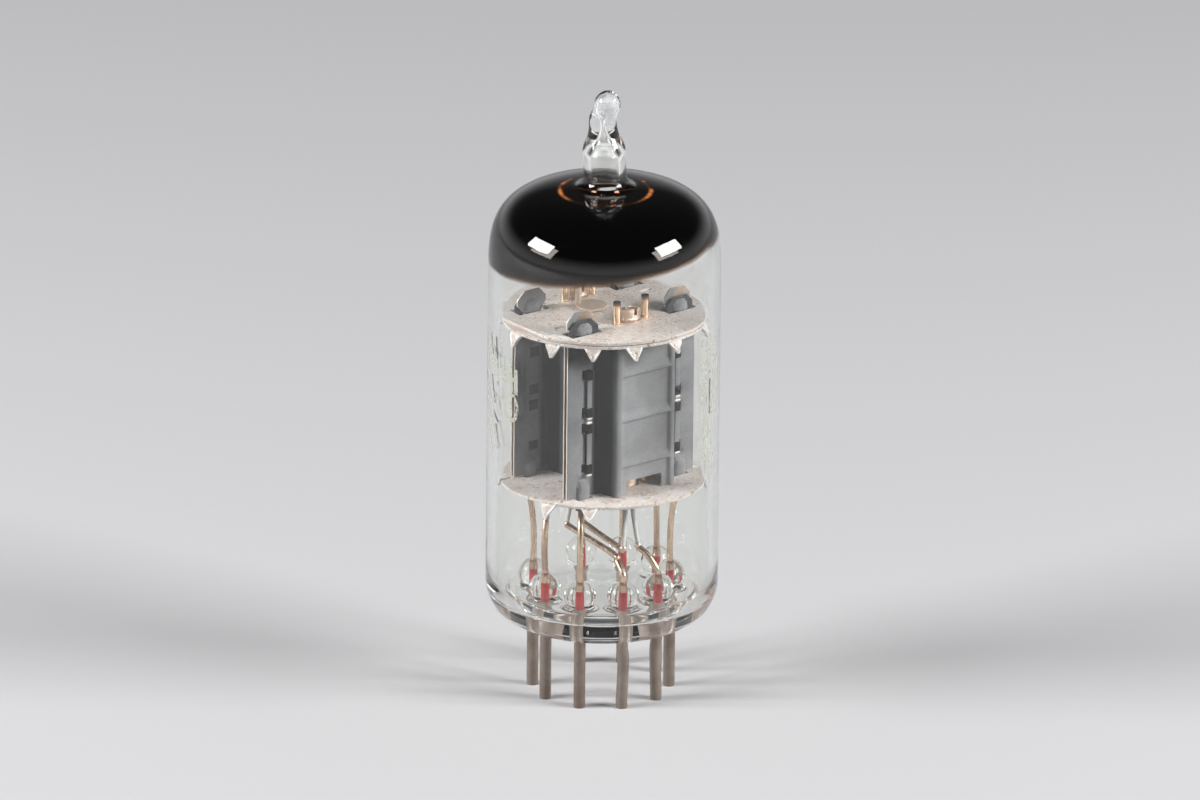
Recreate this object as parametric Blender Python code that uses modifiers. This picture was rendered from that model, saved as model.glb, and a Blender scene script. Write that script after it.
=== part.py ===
"""A nine-pin miniature glass vacuum tube, a double triode, standing on its pins.

Metres, +Z up. The origin is under the middle of the tube, at the pins' ends. The X axis
points to the right of the usual front view and -Y points to the viewer. The two triode
systems stand side by side: each is modelled once, in a frame whose X axis runs along its
plates and whose Y axis points out of the tube, and is carried by an empty that turns it.
"""

import math

import bmesh
import bpy
from mathutils import Matrix, Vector

# Base: nine pins on a circle of ten equal places, the tenth is left empty
PIN_COUNT = 9
PIN_PLACES = 10
FIRST_PIN_ANGLE = -90.0        # degrees from the viewer's side, counter-clockwise from above
PIN_CIRCLE = 0.0119
PIN_DIAMETER = 0.001016
PIN_LENGTH = 0.0065            # below the glass
PIN_EMBEDDED = 0.0024          # held in the glass
PIN_END_ROUND = 0.0003

# Copper-clad wires that seal in the glass, and the leads welded on top of them
SEAL_DIAMETER = 0.0005
SEAL_LENGTH = 0.0012
LEAD_DIAMETER = 0.00055
BEAD_RADIUS = 0.00125
BEAD_TOP = 0.0045              # above the seat

# Glass envelope
BULB_DIAMETER = 0.0203
GLASS_WALL = 0.00095
BASE_ROUND = 0.0035
BASE_SEAM_ANGLE = 35.0         # degrees up the base round where bulb and stem are fused
STEM_THICKNESS = 0.0027
STEM_EDGE_RISE = 0.0007
STEM_LIP = 0.00025             # width of the raised edge that is fused to the bulb
STRAIGHT_TOP = 0.0319          # above the seat, where the dome begins
DOME_RISE = 0.0078
DOME_POWER = 3.3

# Exhaust tip, drawn off by hand and slightly crooked
TIP_TUBE_RADIUS = 0.00187
TIP_BORE_RADIUS = 0.0011
TIP_COLLAR = 0.00075
TIP_FLARE_SHARE = 0.35         # of the collar, at the middle of its flare
TIP_TUBE_HEIGHT = 0.0036       # above the dome
TIP_NECK_RADIUS = 0.0012
TIP_HEAD_RADIUS = 0.00113
TIP_HEIGHT = 0.00865           # above the dome
TIP_TUBE_LEAN = -0.00015
TIP_NECK_LEAN = -0.0003
TIP_HEAD_LEAN = 0.00015

# Getter mirror on the inside of the dome, with a slanting lower edge
FILM_THICKNESS = 0.0001
FILM_EDGE_HEIGHT = 0.0340      # above the seat, on the axis
FILM_EDGE_SLOPE = 0.125        # rise of the edge across the tube, to the right
FILM_HOLE_RADIUS = 0.0026

# Mica discs
MICA_THICKNESS = 0.0003
MICA_EDGE_GAP = 0.0003         # from the disc's rim to the glass
BULB_RADIUS = BULB_DIAMETER / 2
BORE_RADIUS = BULB_RADIUS - GLASS_WALL
MICA_RADIUS = BORE_RADIUS - MICA_EDGE_GAP
CAGE_HEIGHT = 0.0133           # from the seat to the top of the lower mica
TOOTH_WIDTH = 0.0015
TOOTH_LENGTH = 0.00135
TOOTH_BEND = 72.0              # degrees below the disc
TOOTH_THIN = 0.9               # thickness of a tooth against the disc
UPPER_TEETH = (-90, -55, -29, -6, 17, 42, 72, 98, 124, 151, -179, -150, -120)
LOWER_TEETH = (-88, -31, -7, 90, 124, 151, -179, -150)
PLAIN_MICA_FLAT = MICA_RADIUS * 0.933   # from the axis to the flats of the plain disc
ROD_HOLE_GAP = 0.00006
SLOT_GAP = 0.0001
SLIT_LENGTH = 0.0012           # narrow relief slits of the discs
SLIT_WIDTH = 0.00035
PLAIN_SLITS = ((0.66, -0.247),)         # along and out of a system's middle plane, as
LOWER_SLITS = ((-0.86, 0.0), (0.86, 0.0))   # shares of the mica's radius

# The two triode systems; the cage's widths follow the mica that it fills
PLATE_ANGLE = 38.3             # degrees, plates against the X axis
SYSTEM_OFFSET = MICA_RADIUS * 0.416     # axis of the tube to the middle plane of a system

# Anodes: two pressed halves, clinched at their fins
ANODE_HEIGHT = 0.0144
SHEET = 0.00022
FIN_GAP = 0.00012
FIN_MARGIN = 0.0010            # fin end to mica rim
FACE_HALF_WIDTH = MICA_RADIUS * 0.35
WALL_SLANT = MICA_RADIUS * 0.05
FACE_DEPTH = MICA_RADIUS * 0.26         # middle plane to the outside of the face
PANEL_HALF_WIDTH = MICA_RADIUS * 0.275  # of the sunk panels between the ribs
PANEL_DEPTH = 0.0003
BEND_RADIUS = 0.0004
BEND_STEPS = 2
RIB_HEIGHT = 0.0010
RIB_EDGE = 0.0003              # width of the slope between a rib and a panel
RIB_PLACES = (0.00305, 0.00725, 0.0114)   # rib middles above the anode's lower edge
NOTCH_WIDTH = MICA_RADIUS * 0.438
NOTCH_HEIGHT = 0.0012
EAR_INSET = MICA_RADIUS * 0.192         # fin end to the middle of the ear
EAR_NECK_WIDTH = 0.0014
EAR_WIDTH = 0.0030
EAR_HEIGHT = 0.0020
EAR_EDGE = 0.0015              # length of the flat edges at the ear's top and bottom
EAR_SHOULDER = 0.00072         # height of the ear's cut corners
EAR_TOP_OUTER = 0.0012         # above the plain mica, on the half that faces the glass
EAR_TOP_INNER = 0.00188
EAR_BOSS_WIDTH = 0.0015
EAR_BOSS_START = 0.0001        # above the ear's lower edge
EAR_BOSS_END = 0.00165
TAB_BELOW = 0.0008
TAB_SHARE = 0.8                # thickness of a tab against its sheet
BOSS_DEPTH = 0.0004
FOOT_BOSS_WIDTH = 0.00125
FOOT_BOSS_HEIGHT = 0.0014
STAPLE_INSET = MICA_RADIUS * 0.2416     # fin end to the middle of the staples
STAPLE_WIDTH = 0.00055
STAPLE_PROUD = 0.0004
STAPLE_END = 0.00085
STAPLE_RECESS = 0.00012        # of the bar between a staple's ends
STAPLE_SPANS = ((0.0021, 0.0067), (0.0073, 0.0116))
STAPLE_SLOT_SPARE = 0.00035

# Grids, cathodes and heaters
ROD_DIAMETER = 0.00065
ROD_HALF_SPACING = MICA_RADIUS * 0.172
ROD_ABOVE = 0.0020             # above the plain mica
ROD_BELOW = 0.0012             # below the lower mica
WINDING_WIRE = 0.00012
WINDING_CLEARANCE = 0.000115
WINDING_HALF_DEPTH = MICA_RADIUS * 0.0955
WINDING_TURNS = 7
CATHODE_WIDTH = MICA_RADIUS * 0.2135
CATHODE_DEPTH = MICA_RADIUS * 0.1125
CATHODE_WALL = 0.0001
CATHODE_ABOVE = 0.00115
CATHODE_BELOW = 0.0009
HEATER_DIAMETER = 0.0004
HEATER_HALF_SPACING = MICA_RADIUS * 0.0393
HEATER_TOP_DROP = 0.0010       # below the cathode's rim
HEATER_BELOW = 0.0052          # below the lower mica
HEATER_LEG_SPREAD = MICA_RADIUS * 0.09
HEATER_LEG_OUT = 0.00025
HEATER_WELD_GAP = 0.0001       # heater leg's end to the lead under it

# Getter above the micas
GETTER_RING_RADIUS = 0.0024
GETTER_WIRE = 0.0007
GETTER_HEIGHT = 0.0046         # ring's middle above the plain mica
GETTER_FOOT_RADIUS = 0.00145
GETTER_FOOT_PLACE = (-0.0011, 0.0003)
GETTER_POST_DIAMETER = 0.0005

# Clearance between pieces that are welded, fused or laid on each other
FIT_GAP = 0.00005

# Facets
BULB_SIDES = 32
MICA_SIDES = 40
DOME_STEPS = 8
ROUND_STEPS = 4
HEAD_STEPS = 3
PIN_SIDES = 12
HOLE_SIDES = 8
SLEEVE_SIDES = 16
RING_SIDES = 24
BOSS_SIDES = 10
SPHERE_RINGS = 6
TURN_STEPS = 12                # of each turn of a grid winding
WIRE_RESOLUTION = 2
MERGE = 0.000001

# Heights worked out from the sizes above
SEAT_Z = PIN_LENGTH
PIN_TOP = SEAT_Z + PIN_EMBEDDED
SEAL_BOTTOM = PIN_TOP + FIT_GAP
SEAL_TOP = SEAL_BOTTOM + SEAL_LENGTH
LEAD_BOTTOM = SEAL_TOP + FIT_GAP
BEAD_Z = SEAT_Z + BEAD_TOP
DOME_START = SEAT_Z + STRAIGHT_TOP
DOME_TOP = DOME_START + DOME_RISE
LOWER_MICA_TOP = SEAT_Z + CAGE_HEIGHT
LOWER_MICA_BOTTOM = LOWER_MICA_TOP - MICA_THICKNESS
ANODE_BOTTOM = LOWER_MICA_TOP + FIT_GAP
ANODE_TOP = ANODE_BOTTOM + ANODE_HEIGHT
TOOTHED_MICA_BOTTOM = ANODE_TOP + FIT_GAP
PLAIN_MICA_BOTTOM = TOOTHED_MICA_BOTTOM + MICA_THICKNESS + FIT_GAP
PLAIN_MICA_TOP = PLAIN_MICA_BOTTOM + MICA_THICKNESS
HEATER_END = LOWER_MICA_BOTTOM - HEATER_BELOW

# Radii and widths worked out from the sizes above
FIN_END = math.sqrt((MICA_RADIUS - FIN_MARGIN) ** 2 - SYSTEM_OFFSET ** 2)
FIN_PLANE = FIN_GAP / 2 + SHEET / 2
EAR_X = FIN_END - EAR_INSET
STAPLE_X = FIN_END - STAPLE_INSET


def clear_scene():
    """Remove what the scene holds, so that the script can be run again."""
    for item in list(bpy.data.objects):
        bpy.data.objects.remove(item, do_unlink=True)
    for group in list(bpy.data.collections):
        bpy.data.collections.remove(group)


def finish(name, colour, roughness, metallic=0.0, transmission=0.0):
    """A Principled BSDF material, made once for each name."""
    material = bpy.data.materials.get(name)
    if material:
        return material
    material = bpy.data.materials.new(name)
    material.use_nodes = True
    shader = material.node_tree.nodes["Principled BSDF"]
    shader.inputs["Base Color"].default_value = (*colour, 1.0)
    shader.inputs["Roughness"].default_value = roughness
    shader.inputs["Metallic"].default_value = metallic
    shader.inputs["Transmission Weight"].default_value = transmission
    return material


def clear_glass():
    return finish("clear_glass", (0.95, 0.97, 0.95), 0.02, transmission=1.0)


def getter_film():
    return finish("barium_mirror", (0.05, 0.04, 0.035), 0.05, metallic=1.0)


def pin_nickel():
    return finish("pin_nickel", (0.55, 0.51, 0.47), 0.35, metallic=1.0)


def red_copper():
    return finish("seal_copper", (0.65, 0.05, 0.03), 0.4)


def lead_nickel():
    return finish("lead_nickel", (0.60, 0.50, 0.40), 0.3, metallic=1.0)


def pale_mica():
    return finish("mica", (0.70, 0.60, 0.54), 0.5)


def carbonised_nickel():
    return finish("carbonised_nickel", (0.10, 0.10, 0.11), 0.65)


def gilt_copper():
    return finish("grid_copper", (0.80, 0.52, 0.33), 0.2, metallic=1.0)


def cathode_nickel():
    return finish("cathode_nickel", (0.66, 0.58, 0.50), 0.35, metallic=1.0)


def white_alumina():
    return finish("heater_alumina", (0.85, 0.85, 0.83), 0.8)


def make_collection(name):
    group = bpy.data.collections.new(name)
    bpy.context.scene.collection.children.link(group)
    return group


clear_scene()
TUBE = make_collection("vacuum_tube")
CUTTERS = make_collection("cutters")


def add_object(name, data, material=None, parent=None):
    """Link a mesh or curve as a piece of the tube."""
    piece = bpy.data.objects.new(name, data)
    TUBE.objects.link(piece)
    piece.parent = parent
    if material:
        data.materials.append(material)
    return piece


def add_tool(name, bm, parent=None):
    """Link a bmesh as a hidden tool for a Boolean."""
    mesh = bpy.data.meshes.new(name)
    bm.to_mesh(mesh)
    bm.free()
    tool = bpy.data.objects.new(name, mesh)
    CUTTERS.objects.link(tool)
    tool.parent = parent
    tool.hide_render = True
    tool.display_type = "WIRE"
    return tool


def combine(piece, tool, operation):
    """Cut the tool out of the piece, or join it on."""
    boolean = piece.modifiers.new(tool.name, "BOOLEAN")
    boolean.operation = operation
    boolean.solver = "EXACT"
    boolean.object = tool


def thicken(piece, thickness, offset=0.0):
    wall = piece.modifiers.new("wall", "SOLIDIFY")
    wall.thickness = thickness
    wall.offset = offset
    wall.use_even_offset = True


def turned(name, profile, sides, material, parent=None):
    """A body of revolution; its profile runs down the outside and back up the inside."""
    mesh = bpy.data.meshes.new(name)
    edges = [(i, i + 1) for i in range(len(profile) - 1)]
    mesh.from_pydata([(radius, 0.0, height) for radius, height in profile], edges, [])
    piece = add_object(name, mesh, material, parent)
    screw = piece.modifiers.new("turn", "SCREW")
    screw.steps = sides
    screw.render_steps = sides
    screw.use_merge_vertices = True
    screw.merge_threshold = MERGE
    screw.use_smooth_shade = True
    return piece


def wire(name, points, diameter, material, parent=None, resolution=WIRE_RESOLUTION):
    """A round wire along a list of points, with closed ends."""
    curve = bpy.data.curves.new(name, "CURVE")
    curve.dimensions = "3D"
    curve.bevel_depth = diameter / 2
    curve.bevel_resolution = resolution
    curve.use_fill_caps = True
    spline = curve.splines.new("POLY")
    spline.points.add(len(points) - 1)
    for place, point in zip(spline.points, points):
        place.co = (*point, 1.0)
    return add_object(name, curve, material, parent)


def add_box(bm, low, high, frame=Matrix.Identity(4)):
    """A box between two corners of a frame."""
    low, high = Vector(low), Vector(high)
    place = frame @ Matrix.Translation((low + high) / 2)
    bmesh.ops.create_cube(bm, size=1.0, matrix=place @ Matrix.Diagonal((*(high - low), 1.0)))


def add_rod(bm, radius, bottom, top, x=0.0, y=0.0, sides=PIN_SIDES, stretch=1.0,
            frame=Matrix.Identity(4)):
    """An upright rod, or an oval one where its Y is stretched."""
    place = frame @ Matrix.Translation((x, y, (bottom + top) / 2))
    bmesh.ops.create_cone(bm, cap_ends=True, segments=sides, radius1=radius, radius2=radius,
                          depth=top - bottom, matrix=place @ Matrix.Diagonal((1, stretch, 1, 1)))


def round_path(corners, radius, steps):
    """A path through the corners, each inner corner replaced by an arc."""
    path = [Vector(corners[0])]
    for before, corner, after in zip(corners, corners[1:], corners[2:]):
        corner = Vector(corner)
        back = (Vector(before) - corner).normalized()
        ahead = (Vector(after) - corner).normalized()
        half = back.angle(ahead) / 2
        reach = radius / math.tan(half)
        centre = corner + (back + ahead).normalized() * radius / math.sin(half)
        start = corner + back * reach - centre
        end = corner + ahead * reach - centre
        turn = start.angle_signed(end)
        for step in range(steps + 1):
            path.append(centre + Matrix.Rotation(-turn * step / steps, 2) @ start)
    path.append(Vector(corners[-1]))
    return path


def pin_place(number):
    """Plan position of a pin, counted from 1."""
    pitch = math.tau / PIN_PLACES
    angle = math.radians(FIRST_PIN_ANGLE) + pitch * (number - 1)
    return Vector((math.sin(angle), -math.cos(angle))) * PIN_CIRCLE / 2


def smooth_step(share):
    share = min(max(share, 0.0), 1.0)
    return share * share * (3 - 2 * share)


def dome_line(radius, rise, steps, end_radius):
    """The dome's section from the end radius near the axis down to the straight wall."""
    reach = math.acos(end_radius / radius)
    line = []
    for step in range(steps + 1):
        angle = reach * (1 - step / steps)
        across = math.cos(angle)
        up = max(0.0, 1 - across ** DOME_POWER) ** (1 / DOME_POWER)
        line.append((radius * across, DOME_START + rise * up))
    return line


def base_round_line(radius, start, end, steps):
    """The rounded lower edge of the glass, between two angles measured up from below."""
    centre_r = BULB_RADIUS - BASE_ROUND
    centre_z = SEAT_Z + BASE_ROUND
    line = []
    for step in range(steps + 1):
        angle = math.radians(start + (end - start) * step / steps)
        line.append((centre_r + radius * math.sin(angle), centre_z - radius * math.cos(angle)))
    return line


def tip_lean(height):
    """How far the exhaust tip stands off the axis at a height."""
    tube_end = DOME_TOP + TIP_TUBE_HEIGHT
    neck = (tube_end + DOME_TOP + TIP_HEIGHT) / 2
    top = DOME_TOP + TIP_HEIGHT
    if height < tube_end:
        return TIP_TUBE_LEAN * smooth_step((height - DOME_TOP) / TIP_TUBE_HEIGHT)
    if height < neck:
        share = smooth_step((height - tube_end) / (neck - tube_end))
        return TIP_TUBE_LEAN + (TIP_NECK_LEAN - TIP_TUBE_LEAN) * share
    share = smooth_step((height - neck) / (top - neck))
    return TIP_NECK_LEAN + (TIP_HEAD_LEAN - TIP_NECK_LEAN) * share


def tip_line():
    """The exhaust tip's outside, from its round head down to the flared collar."""
    top = DOME_TOP + TIP_HEIGHT
    tube_top = DOME_TOP + TIP_TUBE_HEIGHT
    head = [(TIP_HEAD_RADIUS * math.sin(angle), top - TIP_HEAD_RADIUS * (1 - math.cos(angle)))
            for angle in (math.pi / 2 * step / HEAD_STEPS for step in range(HEAD_STEPS + 1))]
    neck_z = (tube_top + top) / 2
    shoulder = (TIP_TUBE_RADIUS + TIP_NECK_RADIUS) / 2
    body = [(TIP_NECK_RADIUS, neck_z), (shoulder, tube_top + TIP_COLLAR),
            (TIP_TUBE_RADIUS, tube_top), (TIP_TUBE_RADIUS, DOME_TOP + TIP_COLLAR)]
    flare = [(TIP_TUBE_RADIUS + TIP_COLLAR * TIP_FLARE_SHARE,
              DOME_TOP + TIP_COLLAR * TIP_FLARE_SHARE)]
    return head + body + flare


def make_bulb():
    """The blown envelope, from the exhaust tip down to the seam with the stem."""
    flare_end = TIP_TUBE_RADIUS + TIP_COLLAR
    outside = tip_line() + dome_line(BULB_RADIUS, DOME_RISE, DOME_STEPS, flare_end)
    outside += base_round_line(BASE_ROUND, 90, 90 - BASE_SEAM_ANGLE, ROUND_STEPS)
    inner_round = BASE_ROUND - GLASS_WALL
    inside = base_round_line(inner_round, 90 - BASE_SEAM_ANGLE, 90, ROUND_STEPS // 2)
    inner_dome = dome_line(BORE_RADIUS, DOME_RISE - GLASS_WALL, DOME_STEPS, FILM_HOLE_RADIUS)
    bore_end = DOME_TOP + TIP_TUBE_HEIGHT
    bore = [(TIP_BORE_RADIUS, DOME_TOP - GLASS_WALL / 2),
            (TIP_BORE_RADIUS, bore_end - TIP_BORE_RADIUS), (0.0, bore_end)]
    bulb = turned("glass_bulb", outside + inside + inner_dome[::-1] + bore,
                  BULB_SIDES, clear_glass())
    return bent_copy(bulb)


def bent_copy(piece):
    """The turned piece as a plain mesh whose tip leans."""
    graph = bpy.context.evaluated_depsgraph_get()
    mesh = bpy.data.meshes.new_from_object(piece.evaluated_get(graph))
    for corner in mesh.vertices:
        if corner.co.z > DOME_TOP:
            corner.co.x += tip_lean(corner.co.z)
    piece.modifiers.clear()
    piece.data = mesh
    return piece


def stem_bores():
    """Holes for the pins."""
    bm = bmesh.new()
    for number in range(1, PIN_COUNT + 1):
        x, y = pin_place(number)
        add_rod(bm, PIN_DIAMETER / 2 + FIT_GAP, SEAT_Z - BEAD_TOP, PIN_TOP + FIT_GAP / 2, x, y)
    return add_tool("pin_bores", bm)


def lead_bores():
    """Holes for the seal wires and for the leads above them."""
    bm = bmesh.new()
    bore = max(SEAL_DIAMETER, LEAD_DIAMETER) / 2 + FIT_GAP
    for number in range(1, PIN_COUNT + 1):
        x, y = pin_place(number)
        add_rod(bm, bore, PIN_TOP - FIT_GAP, BEAD_Z + BEAD_RADIUS, x, y, HOLE_SIDES)
    return add_tool("lead_bores", bm)


def stem_beads():
    """The rounded glass beads that rise around the leads."""
    bm = bmesh.new()
    half_height = BEAD_TOP - STEM_THICKNESS + BEAD_RADIUS / 2
    for number in range(1, PIN_COUNT + 1):
        x, y = pin_place(number)
        place = Matrix.Translation((x, y, BEAD_Z - half_height))
        shape = Matrix.Diagonal((BEAD_RADIUS, BEAD_RADIUS, half_height, 1.0))
        bmesh.ops.create_uvsphere(bm, u_segments=PIN_SIDES, v_segments=SPHERE_RINGS, radius=1.0,
                                  matrix=place @ shape)
    return add_tool("beads", bm)


def make_stem():
    """The pressed glass button that seals the bulb and holds the pins."""
    seam = 90 - BASE_SEAM_ANGLE
    top = SEAT_Z + STEM_THICKNESS
    gap_share = FIT_GAP / BASE_ROUND
    outer_edge = base_round_line(BASE_ROUND, seam - math.degrees(gap_share), 0, ROUND_STEPS)
    inner_lip = base_round_line(BASE_ROUND - GLASS_WALL, seam - math.degrees(gap_share * 2),
                                seam, 1)[0]
    lip_inside = (BORE_RADIUS - GLASS_WALL * 2, top + STEM_EDGE_RISE / 3)
    profile = [(0.0, top), lip_inside, (inner_lip[0] - STEM_LIP, top + STEM_EDGE_RISE),
               inner_lip] + outer_edge + [(0.0, SEAT_Z)]
    stem = turned("button_stem", profile, BULB_SIDES, clear_glass())
    combine(stem, stem_beads(), "UNION")
    combine(stem, stem_bores(), "DIFFERENCE")
    combine(stem, lead_bores(), "DIFFERENCE")
    return stem


def make_getter_film():
    """The metal film that lines the dome, closed by a slanting lower edge."""
    rise = DOME_RISE - GLASS_WALL - FIT_GAP
    radius = BORE_RADIUS - FIT_GAP
    outside = dome_line(radius, rise, DOME_STEPS, FILM_HOLE_RADIUS)
    inside = dome_line(radius - FILM_THICKNESS, rise - FILM_THICKNESS, DOME_STEPS,
                       FILM_HOLE_RADIUS)
    film = turned("getter_mirror", outside + inside[::-1] + outside[:1], BULB_SIDES,
                  getter_film())
    bm = bmesh.new()
    reach = BULB_DIAMETER
    add_box(bm, (-reach, -reach, -reach), (reach, reach, 0.0))
    tool = add_tool("film_edge", bm)
    tool.location.z = SEAT_Z + FILM_EDGE_HEIGHT
    tool.rotation_euler.y = -math.atan(FILM_EDGE_SLOPE)
    combine(film, tool, "DIFFERENCE")
    return film


def make_pin_column(number):
    """One pin and the seal wire above it."""
    x, y = pin_place(number)
    radius = PIN_DIAMETER / 2
    profile = [(0.0, PIN_TOP), (radius, PIN_TOP), (radius, PIN_END_ROUND),
               (radius - PIN_END_ROUND, 0.0), (0.0, 0.0)]
    pin = turned(f"base_pin_{number}", profile, PIN_SIDES, pin_nickel())
    pin.location = (x, y, 0.0)
    points = [(x, y, SEAL_BOTTOM), (x, y, SEAL_TOP)]
    wire(f"seal_wire_{number}", points, SEAL_DIAMETER, red_copper())


def add_system(name, turn):
    """An empty that carries one triode system."""
    carrier = bpy.data.objects.new(name, None)
    TUBE.objects.link(carrier)
    carrier.rotation_euler.z = math.radians(turn)
    return carrier


def system_point(turn, along, out, height):
    """A point of a system's own frame, in the tube's frame."""
    local = Vector((along, SYSTEM_OFFSET + out, height))
    return Matrix.Rotation(math.radians(turn), 3, "Z") @ local


FRONT_TURN = 180.0 + PLATE_ANGLE
BACK_TURN = PLATE_ANGLE


def add_slots(bm, bottom, top, tab_width):
    """Openings of both systems for the anodes' tabs, the grid rods and the cathode."""
    tab_half = tab_width / 2 + SLOT_GAP
    tab_depth = FIN_GAP / 2 + SHEET + BOSS_DEPTH + SLOT_GAP
    sleeve_half = CATHODE_WIDTH / 2 + ROD_HOLE_GAP
    sleeve_stretch = (CATHODE_DEPTH / 2 + ROD_HOLE_GAP) / sleeve_half
    for turn in (FRONT_TURN, BACK_TURN):
        frame = Matrix.Rotation(math.radians(turn), 4, "Z")
        for side in (-1, 1):
            add_box(bm, (side * EAR_X - tab_half, SYSTEM_OFFSET - tab_depth, bottom),
                    (side * EAR_X + tab_half, SYSTEM_OFFSET + tab_depth, top), frame)
            add_rod(bm, ROD_DIAMETER / 2 + ROD_HOLE_GAP, bottom, top,
                    side * ROD_HALF_SPACING, SYSTEM_OFFSET, HOLE_SIDES, frame=frame)
        add_rod(bm, sleeve_half, bottom, top, 0.0, SYSTEM_OFFSET, stretch=sleeve_stretch,
                frame=frame)


def tooth_tool(name, angles, middle):
    """Three-sided points on the rim, bent down by the bulb as the cage goes in."""
    bm = bmesh.new()
    hinge = MICA_RADIUS - MICA_THICKNESS
    for angle in angles:
        # The prism's flat side stands at the origin and its point at +X: it is 1.5 long
        # and the root of 3 wide before it is scaled to the tooth.
        shape = Matrix.Diagonal((TOOTH_LENGTH / 1.5, TOOTH_WIDTH / math.sqrt(3), 1.0, 1.0))
        shift = Matrix.Translation((0.5, 0.0, 0.0))
        bend = Matrix.Rotation(math.radians(TOOTH_BEND), 4, "Y")
        place = Matrix.Translation((hinge, 0.0, middle))
        around = Matrix.Rotation(math.radians(angle - 90), 4, "Z")
        bmesh.ops.create_cone(bm, cap_ends=True, segments=3, radius1=1.0, radius2=1.0,
                              depth=MICA_THICKNESS * TOOTH_THIN,
                              matrix=around @ place @ bend @ shape @ shift
                              @ Matrix.Rotation(-math.pi / 2, 4, "Z"))
    return add_tool(name, bm)


def add_slits(bm, bottom, top, slits):
    """Narrow slits of both systems."""
    for turn in (FRONT_TURN, BACK_TURN):
        frame = Matrix.Rotation(math.radians(turn), 4, "Z")
        for along, out in slits:
            x, y = along * MICA_RADIUS, SYSTEM_OFFSET + out * MICA_RADIUS
            add_box(bm, (x - SLIT_LENGTH / 2, y - SLIT_WIDTH / 2, bottom),
                    (x + SLIT_LENGTH / 2, y + SLIT_WIDTH / 2, top), frame)


def make_mica(name, bottom, tab_width, teeth=(), slits=()):
    """A mica disc with the openings of both systems and bent points on its rim."""
    bm = bmesh.new()
    add_rod(bm, MICA_RADIUS, bottom, bottom + MICA_THICKNESS, sides=MICA_SIDES)
    mesh = bpy.data.meshes.new(name)
    bm.to_mesh(mesh)
    bm.free()
    disc = add_object(name, mesh, pale_mica())
    if teeth:
        combine(disc, tooth_tool(name + "_teeth", teeth, bottom + MICA_THICKNESS / 2), "UNION")
    slots = bmesh.new()
    low, high = bottom - MICA_THICKNESS, bottom + 2 * MICA_THICKNESS
    add_slots(slots, low, high, tab_width)
    add_slits(slots, low, high, slits)
    combine(disc, add_tool(name + "_slots", slots), "DIFFERENCE")
    return disc


def cut_flats(disc):
    """The two flats of the plain disc, across the ends of the plates."""
    bm = bmesh.new()
    reach = BULB_DIAMETER
    for side in (-1, 1):
        near, far = side * PLAIN_MICA_FLAT, side * reach
        add_box(bm, (min(near, far), -reach, PLAIN_MICA_BOTTOM - MICA_THICKNESS),
                (max(near, far), reach, PLAIN_MICA_TOP + MICA_THICKNESS))
    tool = add_tool("mica_flats", bm)
    tool.rotation_euler.z = math.radians(PLATE_ANGLE)
    combine(disc, tool, "DIFFERENCE")


def panel_sink(height):
    """How far the face is pressed in at a height above the anode's lower edge."""
    for middle in RIB_PLACES:
        inside = RIB_HEIGHT / 2 - abs(height - middle)
        if inside > 0:
            return PANEL_DEPTH * (1.0 - min(1.0, inside / RIB_EDGE))
    return PANEL_DEPTH


def anode_rows():
    rows = [0.0, ANODE_HEIGHT]
    for middle in RIB_PLACES:
        half = RIB_HEIGHT / 2
        rows += [middle - half, middle - half + RIB_EDGE, middle + half - RIB_EDGE, middle + half]
    return sorted(rows)


def pressed_sheet(side):
    """The anode half as a sheet: flat fins, slanting walls and a face with sunk panels."""
    root = FACE_HALF_WIDTH + WALL_SLANT
    face = FACE_DEPTH - SHEET / 2
    corners = [(-FIN_END, FIN_PLANE), (-root, FIN_PLANE), (-FACE_HALF_WIDTH, face),
               (FACE_HALF_WIDTH, face), (root, FIN_PLANE), (FIN_END, FIN_PLANE)]
    path = round_path(corners, BEND_RADIUS, BEND_STEPS)
    for across in (PANEL_HALF_WIDTH, PANEL_HALF_WIDTH + RIB_EDGE):
        path += [Vector((-across, face)), Vector((across, face))]
    path.sort(key=lambda point: point.x)
    rows = anode_rows()
    columns = len(path) - 1
    bm = bmesh.new()
    bmesh.ops.create_grid(bm, x_segments=columns, y_segments=len(rows) - 1, size=1.0)
    for corner in bm.verts:
        column = round((corner.co.x + 1) / 2 * columns)
        row = round((corner.co.y + 1) / 2 * (len(rows) - 1))
        across, depth = path[column]
        if abs(across) < PANEL_HALF_WIDTH + MERGE:
            depth -= panel_sink(rows[row])
        corner.co = (across, SYSTEM_OFFSET + side * depth, ANODE_BOTTOM + rows[row])
    bmesh.ops.recalc_face_normals(bm, faces=bm.faces)
    return bm


def sheet_frame(x, side, height):
    """A frame in a fin's middle plane, whose Y axis points out of the anode."""
    place = Matrix.Translation((x, SYSTEM_OFFSET + side * FIN_PLANE, height))
    return place @ Matrix.Rotation(0.0 if side > 0 else math.pi, 4, "Z")


def add_outline(bm, corners, step):
    """A flat plate: an outline of corners, drawn out by a step."""
    plate = bm.faces.new([bm.verts.new(corner) for corner in corners])
    grown = bmesh.ops.extrude_face_region(bm, geom=[plate], use_keep_orig=True)
    moved = [item for item in grown["geom"] if isinstance(item, bmesh.types.BMVert)]
    bmesh.ops.translate(bm, verts=moved, vec=step)
    bmesh.ops.recalc_face_normals(bm, faces=bm.faces)


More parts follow.
